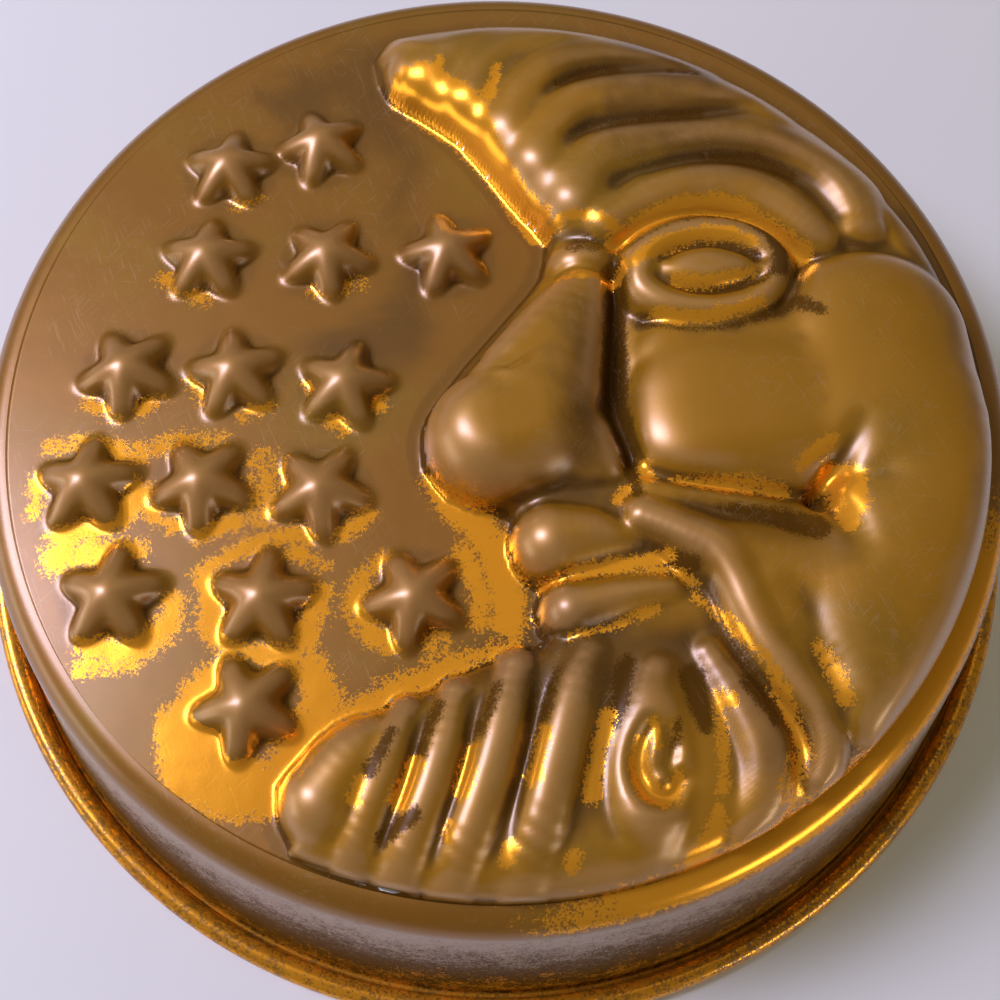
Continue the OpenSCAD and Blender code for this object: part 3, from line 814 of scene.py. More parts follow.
# Bare metal on the crescent, in its hollows and where it is rubbed; it also paints orange reflections and
# highlights there
BARE_AND_GLOW_FACE = [
    Stretch([[-22.5, 76.5, 3.4], [-18, 75, 5], [-12, 70.5, 5.2], [-7, 66, 4.6], [-2.5, 57.5, 2.6],
             [3.5, 47, 2], [9, 38.8, 2.6]]),
    Stretch([[-14.5, 76, 1.8], [-13.5, 81, 0.8]]),
    Stretch([[-2, 70, 1.8], [0, 77.5, 0.8]], 0.6),
    Stretch([[11, 36.6, 1.1], [16, 37.6, 0.9], [21, 36.5, 1], [27, 32.5, 1.4]]),
    Stretch([[25.3, 30.6, 2], [30.4, 33.8, 2.1], [36, 37, 2.1], [42, 39.3, 2.1], [47.5, 39.9, 2],
             [53.6, 38.6, 1.7], [59, 35.2, 1.8], [63.5, 31, 2.2], [67, 28.4, 2.2]]),
    Stretch([[29.2, 24.2, 1.6], [34.5, 27.8, 1.7], [40.2, 30.4, 1.7], [45.8, 31.4, 1.6],
             [50.8, 31.1, 1.5], [55, 29.2, 1]]),
    Stretch([[38, 20, 0.8], [40.6, 19.3, 1], [45, 19.3, 1], [50, 20.3, 0.9], [54.5, 21.5, 0.6]]),
    Stretch([[33.8, 12.4, 1.1], [38.6, 10.9, 1.4], [44.5, 11.1, 1.4], [50.6, 12.6, 1.2],
             [56.2, 14.6, 0.9]]),
    Stretch([[13, 21.5, 0.8], [20, 22, 1], [26, 21.8, 0.9], [27.5, 25, 1]]),
    Stretch([[36, -25, 1], [42, -25.8, 1.4], [50, -26.2, 1.5], [58, -27.4, 1]], 0.4),
    Stretch([[29.5, -20.5, 1], [30.5, -24.5, 1.7]]),
    Stretch([[60.5, -22.5, 1.2], [64.5, -19.5, 1.7], [67, -18, 1]]),
    Stretch([[63.5, -27.5, 1], [67, -24.5, 2.4], [69.5, -26, 3.2], [69.5, -31, 3], [68.5, -36, 1.8]]),
    Stretch([[25.5, -26.5, 0.9], [24, -29, 1]]),
    Stretch([[14, -43.5, 0.8], [22, -43, 1.4], [30, -41.8, 1.8], [33, -41, 1.4]]),
    Stretch([[8.5, -46, 0.7], [20, -44.3, 0.6], [34, -43.6, 0.7], [38, -46.5, 0.8]]),
    Stretch([[30, -51.8, 0.8], [22, -54.8, 0.7], [14, -57, 0.6]]),
    Stretch([[38, -49, 0.8], [44, -54.5, 1], [50, -62, 0.9], [54, -71, 0.9], [56.5, -79, 1.2]]),
    Stretch([[54.5, -81, 2], [53, -86, 2.4]], 0.05),
    Stretch([[60, -60, 1.1], [62.5, -64.5, 1.6], [64, -70, 1.1]], 0.6),
    Stretch([[-25.5, -84, 1], [-26.5, -87.5, 1.1]]),
    Stretch([[-15.3, -81, 1.4], [-18, -87.5, 1.8]]),
    Stretch([[-5, -78, 1], [-7, -86, 1.5]]),
    Stretch([[-9, -92, 0.9], [-9.5, -94.5, 0.8]]),
    Stretch([[8.5, -75, 1.2], [6, -84, 1.4]]),
    Stretch([[2, -95.5, 1.2], [1.2, -97.5, 1.2]]),
    Stretch([[20, -72, 1.3], [17.5, -82, 1.4], [16.8, -86.5, 1.6]]),
    Stretch([[13.5, -97, 1.4], [12.5, -99, 1.2]]),
    Stretch([[41.8, -69.4, 1.8], [43.5, -69.6, 1.2]], 0.4),
    Stretch([[41, -71, 0.8], [41.4, -79, 0.9], [40.6, -86, 1]]),
    Stretch([[40, -89, 1.2], [39, -93.5, 2], [36, -98, 2.2]], 0.6),
    Stretch([[26.5, -77, 1.2], [25.5, -81, 1.6], [26.5, -85.5, 2], [29.5, -87.3, 1.8], [32.5, -85.2, 1.7],
             [33, -83, 1]]),
    Stretch([[28.6, -73.5, 0.9], [29.2, -78, 0.8]]),
]
# Darker stretches of the brown film, partly darker film and partly painted shade on sides turned from the
# light
UMBER_AND_SHADE = [
    Stretch([[94, 38, 4], [106, 8, 7], [103, -22, 6], [93, -46, 3]]),
    Stretch([[68, 54, 3], [80, 42, 4]]),
    Stretch([[19, 12, 1.5], [20, -6, 3], [17, -21, 3], [6, -26, 2.5], [-4, -22, 1]]),
    Stretch([[-33, -72, 2], [-20, -68, 4], [-4, -63, 4], [10, -59, 3], [24, -60, 2], [36, -58, 2]]),
    Stretch([[42, -32, 1.5], [58, -36, 4], [66, -40, 3]]),
    Stretch([[30, -40, 2], [38, -44, 3]]),
    Stretch([[60, 24, 2], [66, 16, 3]]),
    Stretch([[44, -66, 2], [52, -76, 2]]),
    Stretch([[20, 75, 1], [34, 77, 2], [46, 76, 1.5]]),
    Stretch([[24, 61, 0.5], [40, 63, 1.5], [52, 65, 1]]),
    Stretch([[46, 52, 0.5], [58, 52, 2], [68, 47, 3], [74, 38, 2]]),
    Stretch([[-40, 10, 1], [-22, 12, 4], [-18, 30, 2]]),
    Stretch([[-50, 76, 2], [-36, 82, 4], [-20, 60, 3], [-24, 45, 3]]),
]
# The darkest film: painted shade in the grooves and hollows, partly dark tarnish
SHADE_AND_TARNISH = [
    Stretch([[26, 25, 2], [24.8, 8, 3], [24.2, -6, 3.2], [26.5, -20, 2], [28, -28, 1.4]]),
    Stretch([[28.5, 28.6, 0.3], [33.5, 31.6, 0.5], [39, 34.8, 0.7], [45, 36.3, 0.9], [49, 36.2, 0.9],
             [54, 34.4, 1], [58.5, 31.2, 1.4], [61, 27, 2.2], [60.5, 22.5, 2.4], [57.8, 21, 1]]),
    Stretch([[34.4, 24.3, 0.3], [40.1, 27.9, 0.6], [45.7, 28.8, 0.8], [51.2, 28.2, 0.8],
             [56, 25.8, 1.2]]),
    Stretch([[37.5, 18.6, 0.3], [41, 17.4, 0.6], [45, 17, 0.8], [50.4, 18, 0.8], [57, 19.8, 1]]),
    Stretch([[30.5, 11.4, 1], [34.5, 9.6, 0.6], [40, 8.4, 0.6], [46, 8.4, 0.8], [52, 9.8, 1],
             [58, 12.4, 1.6], [63, 15, 2.2], [67.5, 11.5, 1.4]]),
    Stretch([[44, -30.8, 0.8], [54, -33, 2.2], [62, -35.5, 3.6]]),
    Stretch([[31, -40, 1.6], [37, -43.5, 2.4]]),
    Stretch([[17, 30.5, 2.2], [21, 30.5, 2.2]], 0.2),
    Stretch([[14, 72.5, 1], [20, 75.5, 1.6], [28, 77, 1.4]], 0.4),
    Stretch([[40, 76, 1], [46, 76, 1.4]], 0.4),
    Stretch([[26, 61.5, 1], [36, 62.8, 1.5], [46, 64, 1.4]], 0.5),
    Stretch([[46, 52.5, 1], [58, 52, 1.8], [66, 48, 1.6]], 0.5),
    Stretch([[24, -62.5, 2], [22.5, -69, 2.2], [20.8, -74, 1.4]]),
    Stretch([[36.5, -65, 2.8], [38.4, -74, 1.8]]),
    Stretch([[47, -66, 2.2], [51.5, -73.5, 1.5]]),
    Stretch([[11, -63.5, 1.2], [8.6, -71, 1.5], [8, -74, 1]]),
    Stretch([[-0.5, -66.5, 1], [-3.4, -75, 1.5]]),
    Stretch([[-11.5, -70, 1.2], [-14.6, -79, 1.6]]),
    Stretch([[-20, -75, 1.2], [-23.8, -82.5, 1.6]]),
    Stretch([[-15.5, -90, 1.6], [-21, -94, 1.6]], 0.6),
    Stretch([[33, -73.8, 1], [32.6, -77, 1.2]], 0.5),
    Stretch([[29.6, -84.6, 0.5], [29.7, -85, 0.5]]),
]


@dataclass(frozen=True)
class PressedTop:
    """The flat top with its pressed figures, a closed sheet with an outer and an inner skin.

    Args:
        body: Sizes of the body.
        relief: What is pressed into the top.
        inner_cells: Cells along one side of the inner skin's net; the outer one has twice as many.
        thickest: Most that the sheet measures upright on a steep flank, in thicknesses of the sheet.
        sky_edge: Width over which bare metal, also a painted orange reflection, fades round the stars.
        face_edge: Width over which it fades on the crescent.
        dark_edge: Width over which the dark patches, partly painted shade, fade.
        umber_and_shade_edge: Width over which the darker stretches, partly painted shade, fade.
        most_on_sky: Highest amount of bare metal, also a painted orange reflection, round the stars.
        star_clear: Height up a star from which bare metal and its painted reflection give way, and how fast
            they do.
        star_foot: Height up a star at which the golden tone is held back in full.
        star_held: Share of the golden tone that is held back there.
        figure_height: Height at which the film has its full golden tone elsewhere.
        valley_reach: Distance over which broad valleys are measured.
        groove_reach: Distance over which narrow grooves are measured.
    """

    body: Body
    relief: PressedRelief
    inner_cells: int = 130
    thickest: float = 3.5
    sky_edge: float = 3.0
    face_edge: float = 1.5
    dark_edge: float = 2.0
    umber_and_shade_edge: float = 9.0
    most_on_sky: float = 0.8
    star_clear: tuple[float, float] = (0.4, 1.5)
    star_foot: float = 0.5
    star_held: float = 0.75
    figure_height: float = 2.5
    valley_reach: float = 4.5
    groove_reach: float = 1.4

    def net(self, cells: int) -> tuple[Array, Array]:
        """Points of a square net drawn out to a disc.

        Args:
            cells: Cells along one side.

        Returns:
            The points' x and y in millimetres.
        """
        radius, s = self.body.shoulder_centre[0], np.linspace(-1, 1, cells + 1)
        u, v = np.meshgrid(s, s)
        x, y = radius * u * np.sqrt(1 - v * v / 2), radius * v * np.sqrt(1 - u * u / 2)
        return x.ravel(), y.ravel()

    def peak(self) -> float:
        """Greatest height of the relief over the flat top."""
        return float(self.relief.height(*self.net(2 * self.inner_cells)).max())

    @staticmethod
    def quads(cells: int, first: int, upward: bool) -> Array:
        """Number the corners of a net's faces.

        Args:
            cells: Cells along one side.
            first: Number of the net's first point.
            upward: Whether the faces look up.

        Returns:
            One row of four point numbers for each face.
        """
        i, j = np.meshgrid(np.arange(cells), np.arange(cells))
        a = (first + j * (cells + 1) + i).ravel()
        q = np.stack([a, a + 1, a + cells + 2, a + cells + 1], 1)
        return q if upward else q[:, ::-1]

    @staticmethod
    def edge_loop(cells: int, first: int) -> list[int]:
        """Number the points round a net's edge.

        Args:
            cells: Cells along one side.
            first: Number of the net's first point.

        Returns:
            The point numbers, anticlockwise from the lower left corner.
        """
        n = cells + 1
        low = [first + i for i in range(cells)]
        right = [first + cells + i * n for i in range(cells)]
        high = [first + n * n - 1 - i for i in range(cells)]
        left = [first + cells * n - i * n for i in range(cells)]
        return low + right + high + left

    def edge_band(self, first_inside: int) -> list[tuple[int, int, int]]:
        """Join the two skins' edges, where the outer one has two points for each inner one.

        Args:
            first_inside: Number of the inner skin's first point.

        Returns:
            The corner numbers of the band's triangles.
        """
        outside = self.edge_loop(2 * self.inner_cells, 0)
        inside = self.edge_loop(self.inner_cells, first_inside)
        band = []
        for k in range(len(inside)):
            a, b, c = (outside[(2 * k + i) % len(outside)] for i in range(3))
            p, q = inside[k], inside[(k + 1) % len(inside)]
            band += [(b, a, p), (b, p, q), (c, b, q)]
        return band

    def dress(self, obj: bpy.types.Object, x: Array, y: Array, high: Array, hidden: int) -> None:
        """Store the numbers that the finish reads.

        Args:
            obj: The piece.
            x: The outer skin's x in millimetres.
            y: Its y.
            high: Its height over the flat top.
            hidden: Number of points on the inner skin, which come after the outer ones.
        """
        stars = np.max([star.height(x, y) for star in self.relief.stars], axis=0)
        clear_from, fall = self.star_clear
        off_stars = self.most_on_sky - fall * np.clip(stars - clear_from, 0, 2)
        sky = np.minimum(covered(BARE_AND_GLOW_SKY, x, y, self.sky_edge), off_stars)
        bare_and_glow = np.maximum(sky, covered(BARE_AND_GLOW_FACE, x, y, self.face_edge))
        golden = 1 - self.star_held * np.clip(stars / self.star_foot, 0, 1)
        # The first three values mark bare copper that also paints an orange reflection, and dark film and
        # darker stretches that are partly painted shade; valley and hollow let the finish paint shade into
        # valleys and grooves and a sheen onto crests
        rows = {
            "bare_and_glow": (bare_and_glow, LEAST),
            "dark": (covered(SHADE_AND_TARNISH, x, y, self.dark_edge), LEAST),
            "brown": (covered(UMBER_AND_SHADE, x, y, self.umber_and_shade_edge), LEAST),
            "figure": (np.clip(high / self.figure_height, 0, 1) * golden, 0),
            "valley": (self.relief.hollowness(x, y, self.valley_reach), 0),
            "hollow": (self.relief.hollowness(x, y, self.groove_reach), 0),
        }
        for name, (values, inside) in rows.items():
            put_values(obj, name, np.concatenate([values, np.full(hidden, float(inside))]))

    def build(self) -> bpy.types.Object:
        """Make the piece with the numbers that its finish reads.

        Returns:
            The piece.
        """
        x, y = self.net(2 * self.inner_cells)
        high = self.relief.height(x, y)
        outer = np.stack([x, y, self.body.plate_height + high], 1)
        u, v = self.net(self.inner_cells)
        along_x, along_y = self.relief.slope(u, v)
        steepness = np.sqrt(1 + along_x * along_x + along_y * along_y)
        thick = self.body.sheet * np.minimum(steepness, self.thickest)
        inner = np.stack([u, v, self.body.plate_height + self.relief.height(u, v) - thick], 1)
        outside = self.quads(2 * self.inner_cells, 0, True)
        inside = self.quads(self.inner_cells, len(outer), False)
        band = self.edge_band(len(outer))
        slots = [Slot.OUTSIDE.value] * len(outside) + [Slot.INSIDE.value] * len(inside)
        slots += [Slot.OUTSIDE.value] * len(band)
        faces = [*outside.tolist(), *inside.tolist(), *band]
        obj = new_mesh("pressed_top", np.concatenate([outer, inner]), faces, slots)
        self.dress(obj, x, y, high, len(inner))
        return obj


@dataclass(frozen=True)
class WallAndRim:
    """The rounded shoulder, leaning wall and rolled rim, turned round the axis.

    Args:
        body: Sizes of the body.
        steps: Stretches round the axis.
        lip_arc: Which arc of the section begins at the sheet's lip.
        inside_arc: Which arc of the section begins the tinned inside.
        bare_and_glow_from: Height from which the shoulder's front is bare, partly a painted orange
            reflection, and the width of the fade.
        bare_and_glow_bearing: Bearing of the bare front's middle, its half angle and the fade, in degrees.
        foot_glow_to: Height up to which specks of bare metal show at the foot as a painted reflection of
            the rolled bead, and the width of the fade.
        dark_reflection_from: Height down from which the wall is dark, a painted dark reflection, and the
            width of the fade.
        rim_beyond: How far out past the wall's foot the rim begins.
        rim_bare: Amount of bare metal on the rim.
        rim_dark: Amount of dark film on the rim.
    """

    body: Body
    steps: int = 480
    lip_arc: int = 3
    inside_arc: int = 4
    bare_and_glow_from: tuple[float, float] = (51.4, 1.6)
    bare_and_glow_bearing: tuple[float, float, float] = (-50.0, 34.0, 10.0)
    foot_glow_to: tuple[float, float] = (4.0, 5.0)
    dark_reflection_from: tuple[float, float] = (47.0, 10.0)
    rim_beyond: float = 0.6
    rim_bare: float = 0.08
    rim_dark: float = -0.3

    def dress(self, obj: bpy.types.Object, points: Array) -> None:
        """Store the numbers that the finish reads.

        Args:
            obj: The piece.
            points: Its points in millimetres.
        """
        z, radius = points[:, 2], np.hypot(points[:, 0], points[:, 1])
        bearing = np.degrees(np.arctan2(points[:, 1], points[:, 0]))
        on_rim = radius > self.body.wall_at_bead + self.rim_beyond
        # Bare copper on the shoulder's front, partly a painted orange reflection
        middle, half, fade = self.bare_and_glow_bearing
        front = (half - np.abs(bearing - middle)) / fade
        shoulder = np.clip(np.minimum((z - self.bare_and_glow_from[0]) / self.bare_and_glow_from[1], front), LEAST, 1)
        # Specks of bare copper at the wall's foot: a painted reflection of the rolled bead
        foot = np.clip((self.foot_glow_to[0] - z) / self.foot_glow_to[1], LEAST, 0.0)
        # The wall darkens downward: a painted dark reflection
        wall = np.clip((self.dark_reflection_from[0] - z) / self.dark_reflection_from[1], -1, 1)
        put_values(obj, "bare_and_glow", np.where(on_rim, self.rim_bare, np.maximum(shoulder, foot)))
        put_values(obj, "dark", np.where(on_rim, self.rim_dark, wall))
        put_values(obj, "brown", np.full(len(points), LEAST))
        for name in ("figure", "valley", "hollow"):
            put_values(obj, name, np.zeros(len(points)))

    def build(self) -> bpy.types.Object:
        """Make the piece with the numbers that its finish reads.

        Returns:
            The piece.
        """
        arcs = self.body.section()
        starts = np.cumsum([0] + [len(points) for points in arcs])
        lip, inside = starts[self.lip_arc], starts[self.inside_arc]
        outline = np.array([point for points in arcs for point in points])
        n, m = len(outline), self.steps
        turns = np.arange(m) * 2 * math.pi / m
        points = np.stack([
            (outline[:, 0][None, :] * np.cos(turns)[:, None]).ravel(),
            (outline[:, 0][None, :] * np.sin(turns)[:, None]).ravel(),
            np.tile(outline[:, 1], m),
        ], 1)
        i, k = np.meshgrid(np.arange(m), np.arange(n), indexing="ij")
        a, b = i * n + k, i * n + (k + 1) % n
        c, d = ((i + 1) % m) * n + (k + 1) % n, ((i + 1) % m) * n + k
        faces = np.stack([a, b, c, d], -1).reshape(-1, 4)
        slots = np.tile(np.where(np.arange(n) >= inside, Slot.INSIDE.value, Slot.OUTSIDE.value), m)
        obj = new_mesh("wall_and_rim", points, faces.tolist(), slots)
        self.sharpen(obj, n, [0, n - 1, lip - 1, lip])
        self.dress(obj, points)
        return obj

    @staticmethod
    def sharpen(obj: bpy.types.Object, around: int, corners: Sequence[int]) -> None:
        """Keep the sheet's square edges sharp where the rest is shaded smooth.

        Args:
            obj: The piece.
            around: Number of points in its section.
            corners: Numbers of the section's points at those edges.
        """
        ends = np.zeros(len(obj.data.edges) * 2, np.int32)
        obj.data.edges.foreach_get("vertices", ends)
        places = ends.reshape(-1, 2) % around
        sharp = (places[:, 0] == places[:, 1]) & np.isin(places[:, 0], corners)
        obj.data.attributes.new("sharp_edge", "BOOLEAN", "EDGE").data.foreach_set("value", sharp)


class Shader:
    """Short ways to lay out a finish's nodes."""

    def __init__(self, name: str) -> None:
        self.material = bpy.data.materials.new(name)
        self.material.use_nodes = True
        self.tree = self.material.node_tree
        self.tree.nodes.clear()
        self.out = self.tree.nodes.new("ShaderNodeOutputMaterial")
        self.surface = self.tree.nodes.new("ShaderNodeBsdfPrincipled")
        self.tree.links.new(self.surface.outputs[0], self.out.inputs["Surface"])

    def put(self, socket: Socket, value: Value) -> None:
        """Set a socket to a number or colour, or join it to another node's output.

        Args:
            socket: The input to set.
            value: What it gets.
        """
        if isinstance(value, Socket):
            self.tree.links.new(value, socket)
        elif isinstance(value, tuple) and len(value) == 3 and socket.type == "RGBA":
            socket.default_value = (*value, 1.0)
        else:
            socket.default_value = value

    def finish(self, **inputs: Value) -> None:
        """Set inputs of the surface, with their spaces written as underscores."""
        for name, value in inputs.items():
            self.put(self.surface.inputs[name.replace("_", " ")], value)

    def node(self, kind: str, inputs: dict[int | str, Value] | None = None,
             **settings: object) -> bpy.types.Node:
        """Add a node.

        Args:
            kind: The node's type.
            inputs: Its inputs by number or name.
            settings: Its other settings.

        Returns:
            The node.
        """
        made = self.tree.nodes.new(kind)
        for key, value in settings.items():
            setattr(made, key, value)
        for key, value in (inputs or {}).items():
            self.put(made.inputs[key], value)
        return made

    def value(self, name: str) -> Socket:
        """A number stored on the mesh's points."""
        return self.node("ShaderNodeAttribute", attribute_name=name).outputs["Fac"]

    def place(self) -> Socket:
        """The point's place on the mould, in metres."""
        return self.node("ShaderNodeTexCoord").outputs["Object"]

    def math(self, how: str, a: Value, b: Value = 0.0) -> Socket:
        """One sum on two numbers."""
        return self.node("ShaderNodeMath", {0: a, 1: b}, operation=how).outputs[0]

    def swing(self, noise: Value, by: float) -> Socket:
        """A noise as an amount to both sides of zero, this wide in all."""
        return self.math("MULTIPLY", self.math("SUBTRACT", noise, 0.5), by)

    def spread(self, value: Value, low: float, high: float, to_low: float = 0.0,
               to_high: float = 1.0) -> Socket:
        """Stretch a number from one range to another, held at its ends, with a smooth middle.

        Args:
            value: The number.
            low: Start of its range.
            high: End of its range.
            to_low: What it becomes at the start.
            to_high: What it becomes at the end.

        Returns:
            The new number.
        """
        ends = {0: value, 1: low, 2: high, 3: to_low, 4: to_high}
        return self.node("ShaderNodeMapRange", ends, interpolation_type="SMOOTHSTEP").outputs[0]

    def blend(self, share: Value, a: Value, b: Value) -> Socket:
        """A colour between two, by a share."""
        return self.node("ShaderNodeMix", {0: share, 6: a, 7: b}, data_type="RGBA").outputs[2]

    def noise(self, where: Socket, scale: float, detail: float = 4.0, rough: float = 0.55,
              skew: float = 0.0) -> Socket:
        """Soft random mottling.

        Args:
            where: Coordinates.
            scale: Mottles for each metre.
            detail: Finer layers on top of the first.
            rough: Strength of the finer layers.
            skew: How far the mottles are drawn out of shape.

        Returns:
            The noise, from 0 to 1.
        """
        inputs = {"Vector": where, "Scale": scale, "Detail": detail, "Roughness": rough, "Distortion": skew}
        return self.node("ShaderNodeTexNoise", inputs).outputs["Fac"]

    def stretched(self, where: Socket, turn: float, scale: tuple[float, float, float]) -> Socket:
        """Coordinates turned about the upright axis and stretched.

        Args:
            where: Coordinates.
            turn: The turn in degrees.
            scale: Stretch along each axis.

        Returns:
            The new coordinates.
        """
        inputs = {"Vector": where, "Rotation": (0, 0, math.radians(turn)), "Scale": scale}
        return self.node("ShaderNodeMapping", inputs, vector_type="TEXTURE").outputs[0]


@dataclass(frozen=True)
class Mottling:
    """One noise of the film.

    Args:
        scale: Mottles for each metre.
        detail: Finer layers on top of the first.
        rough: Strength of the finer layers.
        skew: How far the mottles are drawn out of shape.
    """

    scale: float
    detail: float
    rough: float
    skew: float = 0.0

    def over(self, s: Shader, where: Socket) -> Socket:
        """The noise at a place."""
        return s.noise(where, self.scale, self.detail, self.rough, self.skew)


@dataclass(frozen=True)
class Hairlines:
    """Fine short scratches in one direction.

    Args:
        turn: Their direction in degrees.
        scale: How closely they lie.
        low: Level of the noise from which a scratch shows.
        length: Their length in widths.
    """

    turn: float
    scale: float
    low: float
    length: float = 16.0

    def over(self, s: Shader, where: Socket) -> Socket:
        """The scratches at a place."""
        lined = s.noise(s.stretched(where, self.turn, (1, self.length, 1)), self.scale, 2, 0.4)
        return s.spread(lined, self.low, self.low + 0.06)


@dataclass(frozen=True)
class TarnishedCopper:
    """Copper gone brown with age, with bare orange metal, partly a painted reflection, in its hollows and
    along the figures' feet, and painted shade and sheen in its film.

    Args:
        tarnish: Colour of the brown film over the flat sheet.
        golden: Colour of the film over the raised figures.
        olive: Colour of the film in its greener clouds.
        umber: Colour of the film in its darker stretches, partly painted shade.
        deep: Colour of the darkest film: dark tarnish and painted shade in grooves and valleys, and a
            painted dark reflection on the wall.
        crest_sheen: Colour of the film on the crests, paled by wear and by a painted sheen.
        bare_and_glow: Colour of bare metal, faintly dulled, also used as a painted orange reflection.
        haze: Colour of fine scratches in the film.
        tarnish_roughness: Roughness of the brown film.
        bare_roughness: Roughness of bare metal.
        coat_roughness: Roughness of the film's own gloss.
        film_metal: How metallic the film looks.
        bare_metal: How metallic the bare copper looks.
        darkest: Share of the deep colour inside its patches.
        gloss: Weight of the film's gloss.
        gloss_lost: How much of it is lost where the metal is bare or the film is dark.
        specular: Plain specular level of the film.
        scratch_share: Share of the haze colour on a scratch.
        cloud: Noise of the greener clouds.
        broad: Noise that breaks up the darker stretches.
        wide: Noise that frays patches most broadly.
        fleck: Noise that frays them in flecks.
        speck: Noise that frays them in specks.
        fray: How far the wide, fleck and speck noises shift a patch's edge, in shares of its fade.
        dents: Noise of the shallow dents.
        grain: Noise of the fine grain.
        depths: How deep dents, grain, scratches and bare metal are, in bump distances.
        bump: Strength of the bump, and its distance in metres.
        scratched: Noise that says where scratches show.
        scratches: The scratches, one row for each direction.
    """

    tarnish: Colour = (0.260, 0.108, 0.007)
    golden: Colour = (0.375, 0.168, 0.005)
    olive: Colour = (0.250, 0.128, 0.006)
    umber: Colour = (0.135, 0.056, 0.005)
    deep: Colour = (0.075, 0.030, 0.003)
    crest_sheen: Colour = (0.500, 0.265, 0.090)
    bare_and_glow: Colour = (0.860, 0.365, 0.022)
    haze: Colour = (0.420, 0.300, 0.170)
    tarnish_roughness: float = 0.42
    bare_roughness: float = 0.22
    coat_roughness: float = 0.28
    film_metal: float = 0.42
    bare_metal: float = 0.62
    darkest: float = 0.9
    gloss: float = 0.9
    gloss_lost: float = 0.84
    specular: float = 0.12
    scratch_share: float = 0.16
    cloud: Mottling = Mottling(26, 5, 0.6, 0.4)
    broad: Mottling = Mottling(17, 4, 0.62, 0.5)
    wide: Mottling = Mottling(120, 3, 0.6)
    fleck: Mottling = Mottling(480, 5, 0.7, 0.3)
    speck: Mottling = Mottling(1900, 3, 0.7)
    fray: tuple[float, float, float] = (1.2, 1.7, 3.6)
    dents: Mottling = Mottling(60, 2, 0.5)
    grain: Mottling = Mottling(1400, 2, 0.5)
    depths: tuple[float, float, float, float] = (0.8, 0.03, 0.008, 0.01)
    bump: tuple[float, float] = (0.5, 0.0006)
    scratched: Mottling = Mottling(45, 2, 0.5)
    scratches: Sequence[Hairlines] = (
        Hairlines(24, 2600, 0.63), Hairlines(-41, 2300, 0.64), Hairlines(83, 2500, 0.66),
    )

    def scratch_lines(self, s: Shader, where: Socket) -> Socket:
        """Lay the scratches of every direction over each other, in patches.

        Args:
            s: The finish.
            where: Coordinates.

        Returns:
            1 on a scratch and 0 beside it.
        """
        lines = self.scratches[0].over(s, where)
        for more in self.scratches[1:]:
            lines = s.math("MAXIMUM", lines, more.over(s, where))
        return s.math("MULTIPLY", lines, s.spread(self.scratched.over(s, where), 0.42, 0.6))

    def film(self, s: Shader, where: Socket, wide: Socket, cloud: Socket, shade: Socket) -> Socket:
        """Colour the film, from its flat brown through each of its tones in turn, painting shade into its
        darker stretches, valleys and grooves and a sheen onto its crests.

        Args:
            s: The finish.
            where: Coordinates.
            wide: The broad fraying noise.
            cloud: The noise of the greener clouds.
            shade: Share of the darkest colour, painted shade partly with dark tarnish.

        Returns:
            The film's colour.
        """
        brown = s.blend(s.value("figure"), self.tarnish, self.golden)
        brown = s.blend(s.spread(cloud, 0.45, 0.75), brown, self.olive)
        # Darker umber stretches: partly darker film, partly painted shade
        umber = s.math("ADD", s.value("brown"), s.swing(self.broad.over(s, where), 5.0))
        brown = s.blend(s.spread(umber, -0.9, 0.5, 0.0, 0.85), brown, self.umber)
        low = s.math("ADD", s.value("valley"), s.swing(wide, self.fray[0]))
        # Painted sheen: crests paled toward the crest colour, together with wear
        brown = s.blend(s.spread(low, -0.2, -1.5, 0.0, 0.55), brown, self.crest_sheen)
        on_figure = s.spread(s.value("figure"), 0, 1, 0.4, 1.0)
        # Painted shade: broad valleys on the figures darkened toward the deep colour
        valley_shade = s.math("MULTIPLY", s.spread(low, 0.05, 1.1, 0.0, 0.68), on_figure)
        # Painted shade of the grooves and dark patches laid over all
        return s.blend(shade, s.blend(valley_shade, brown, self.deep), self.deep)

    def unevenness(self, s: Shader, where: Socket, lines: Socket, bare_and_glow: Socket) -> Socket:
        """Dent the surface a little, with a fine grain, scratches and a step down to bare metal.

        Args:
            s: The finish.
            where: Coordinates.
            lines: The scratches.
            bare_and_glow: Share of bare metal, which also stands as a painted orange reflection.

        Returns:
            The surface's direction.
        """
        dent, grain, scratch, step = self.depths
        relief = s.math("MULTIPLY", self.dents.over(s, where), dent)
        relief = s.math("ADD", relief, s.math("MULTIPLY", self.grain.over(s, where), grain))
        relief = s.math("SUBTRACT", relief, s.math("MULTIPLY", lines, scratch))
        relief = s.math("SUBTRACT", relief, s.math("MULTIPLY", bare_and_glow, step))
        strength, distance = self.bump
        inputs = {"Height": relief, "Strength": strength, "Distance": distance}
        return s.node("ShaderNodeBump", inputs).outputs[0]

    def build(self) -> bpy.types.Material:
        """Make the finish.

        Returns:
            The material.
        """
        s = Shader("tarnished_copper")
        where = s.place()
        cloud, wide = self.cloud.over(s, where), self.wide.over(s, where)
        by_wide, by_fleck, by_speck = self.fray
        ragged = s.math("ADD", s.swing(wide, by_wide), s.swing(self.fleck.over(s, where), by_fleck))
        ragged = s.math("ADD", ragged, s.swing(self.speck.over(s, where), by_speck))
        # Bare copper, also a painted orange reflection in hollows and at feet
        bare_and_glow = s.spread(s.math("ADD", s.value("bare_and_glow"), ragged), -0.07, 0.07)
        dark = s.math("ADD", s.value("dark"), s.math("MULTIPLY", ragged, 0.5))
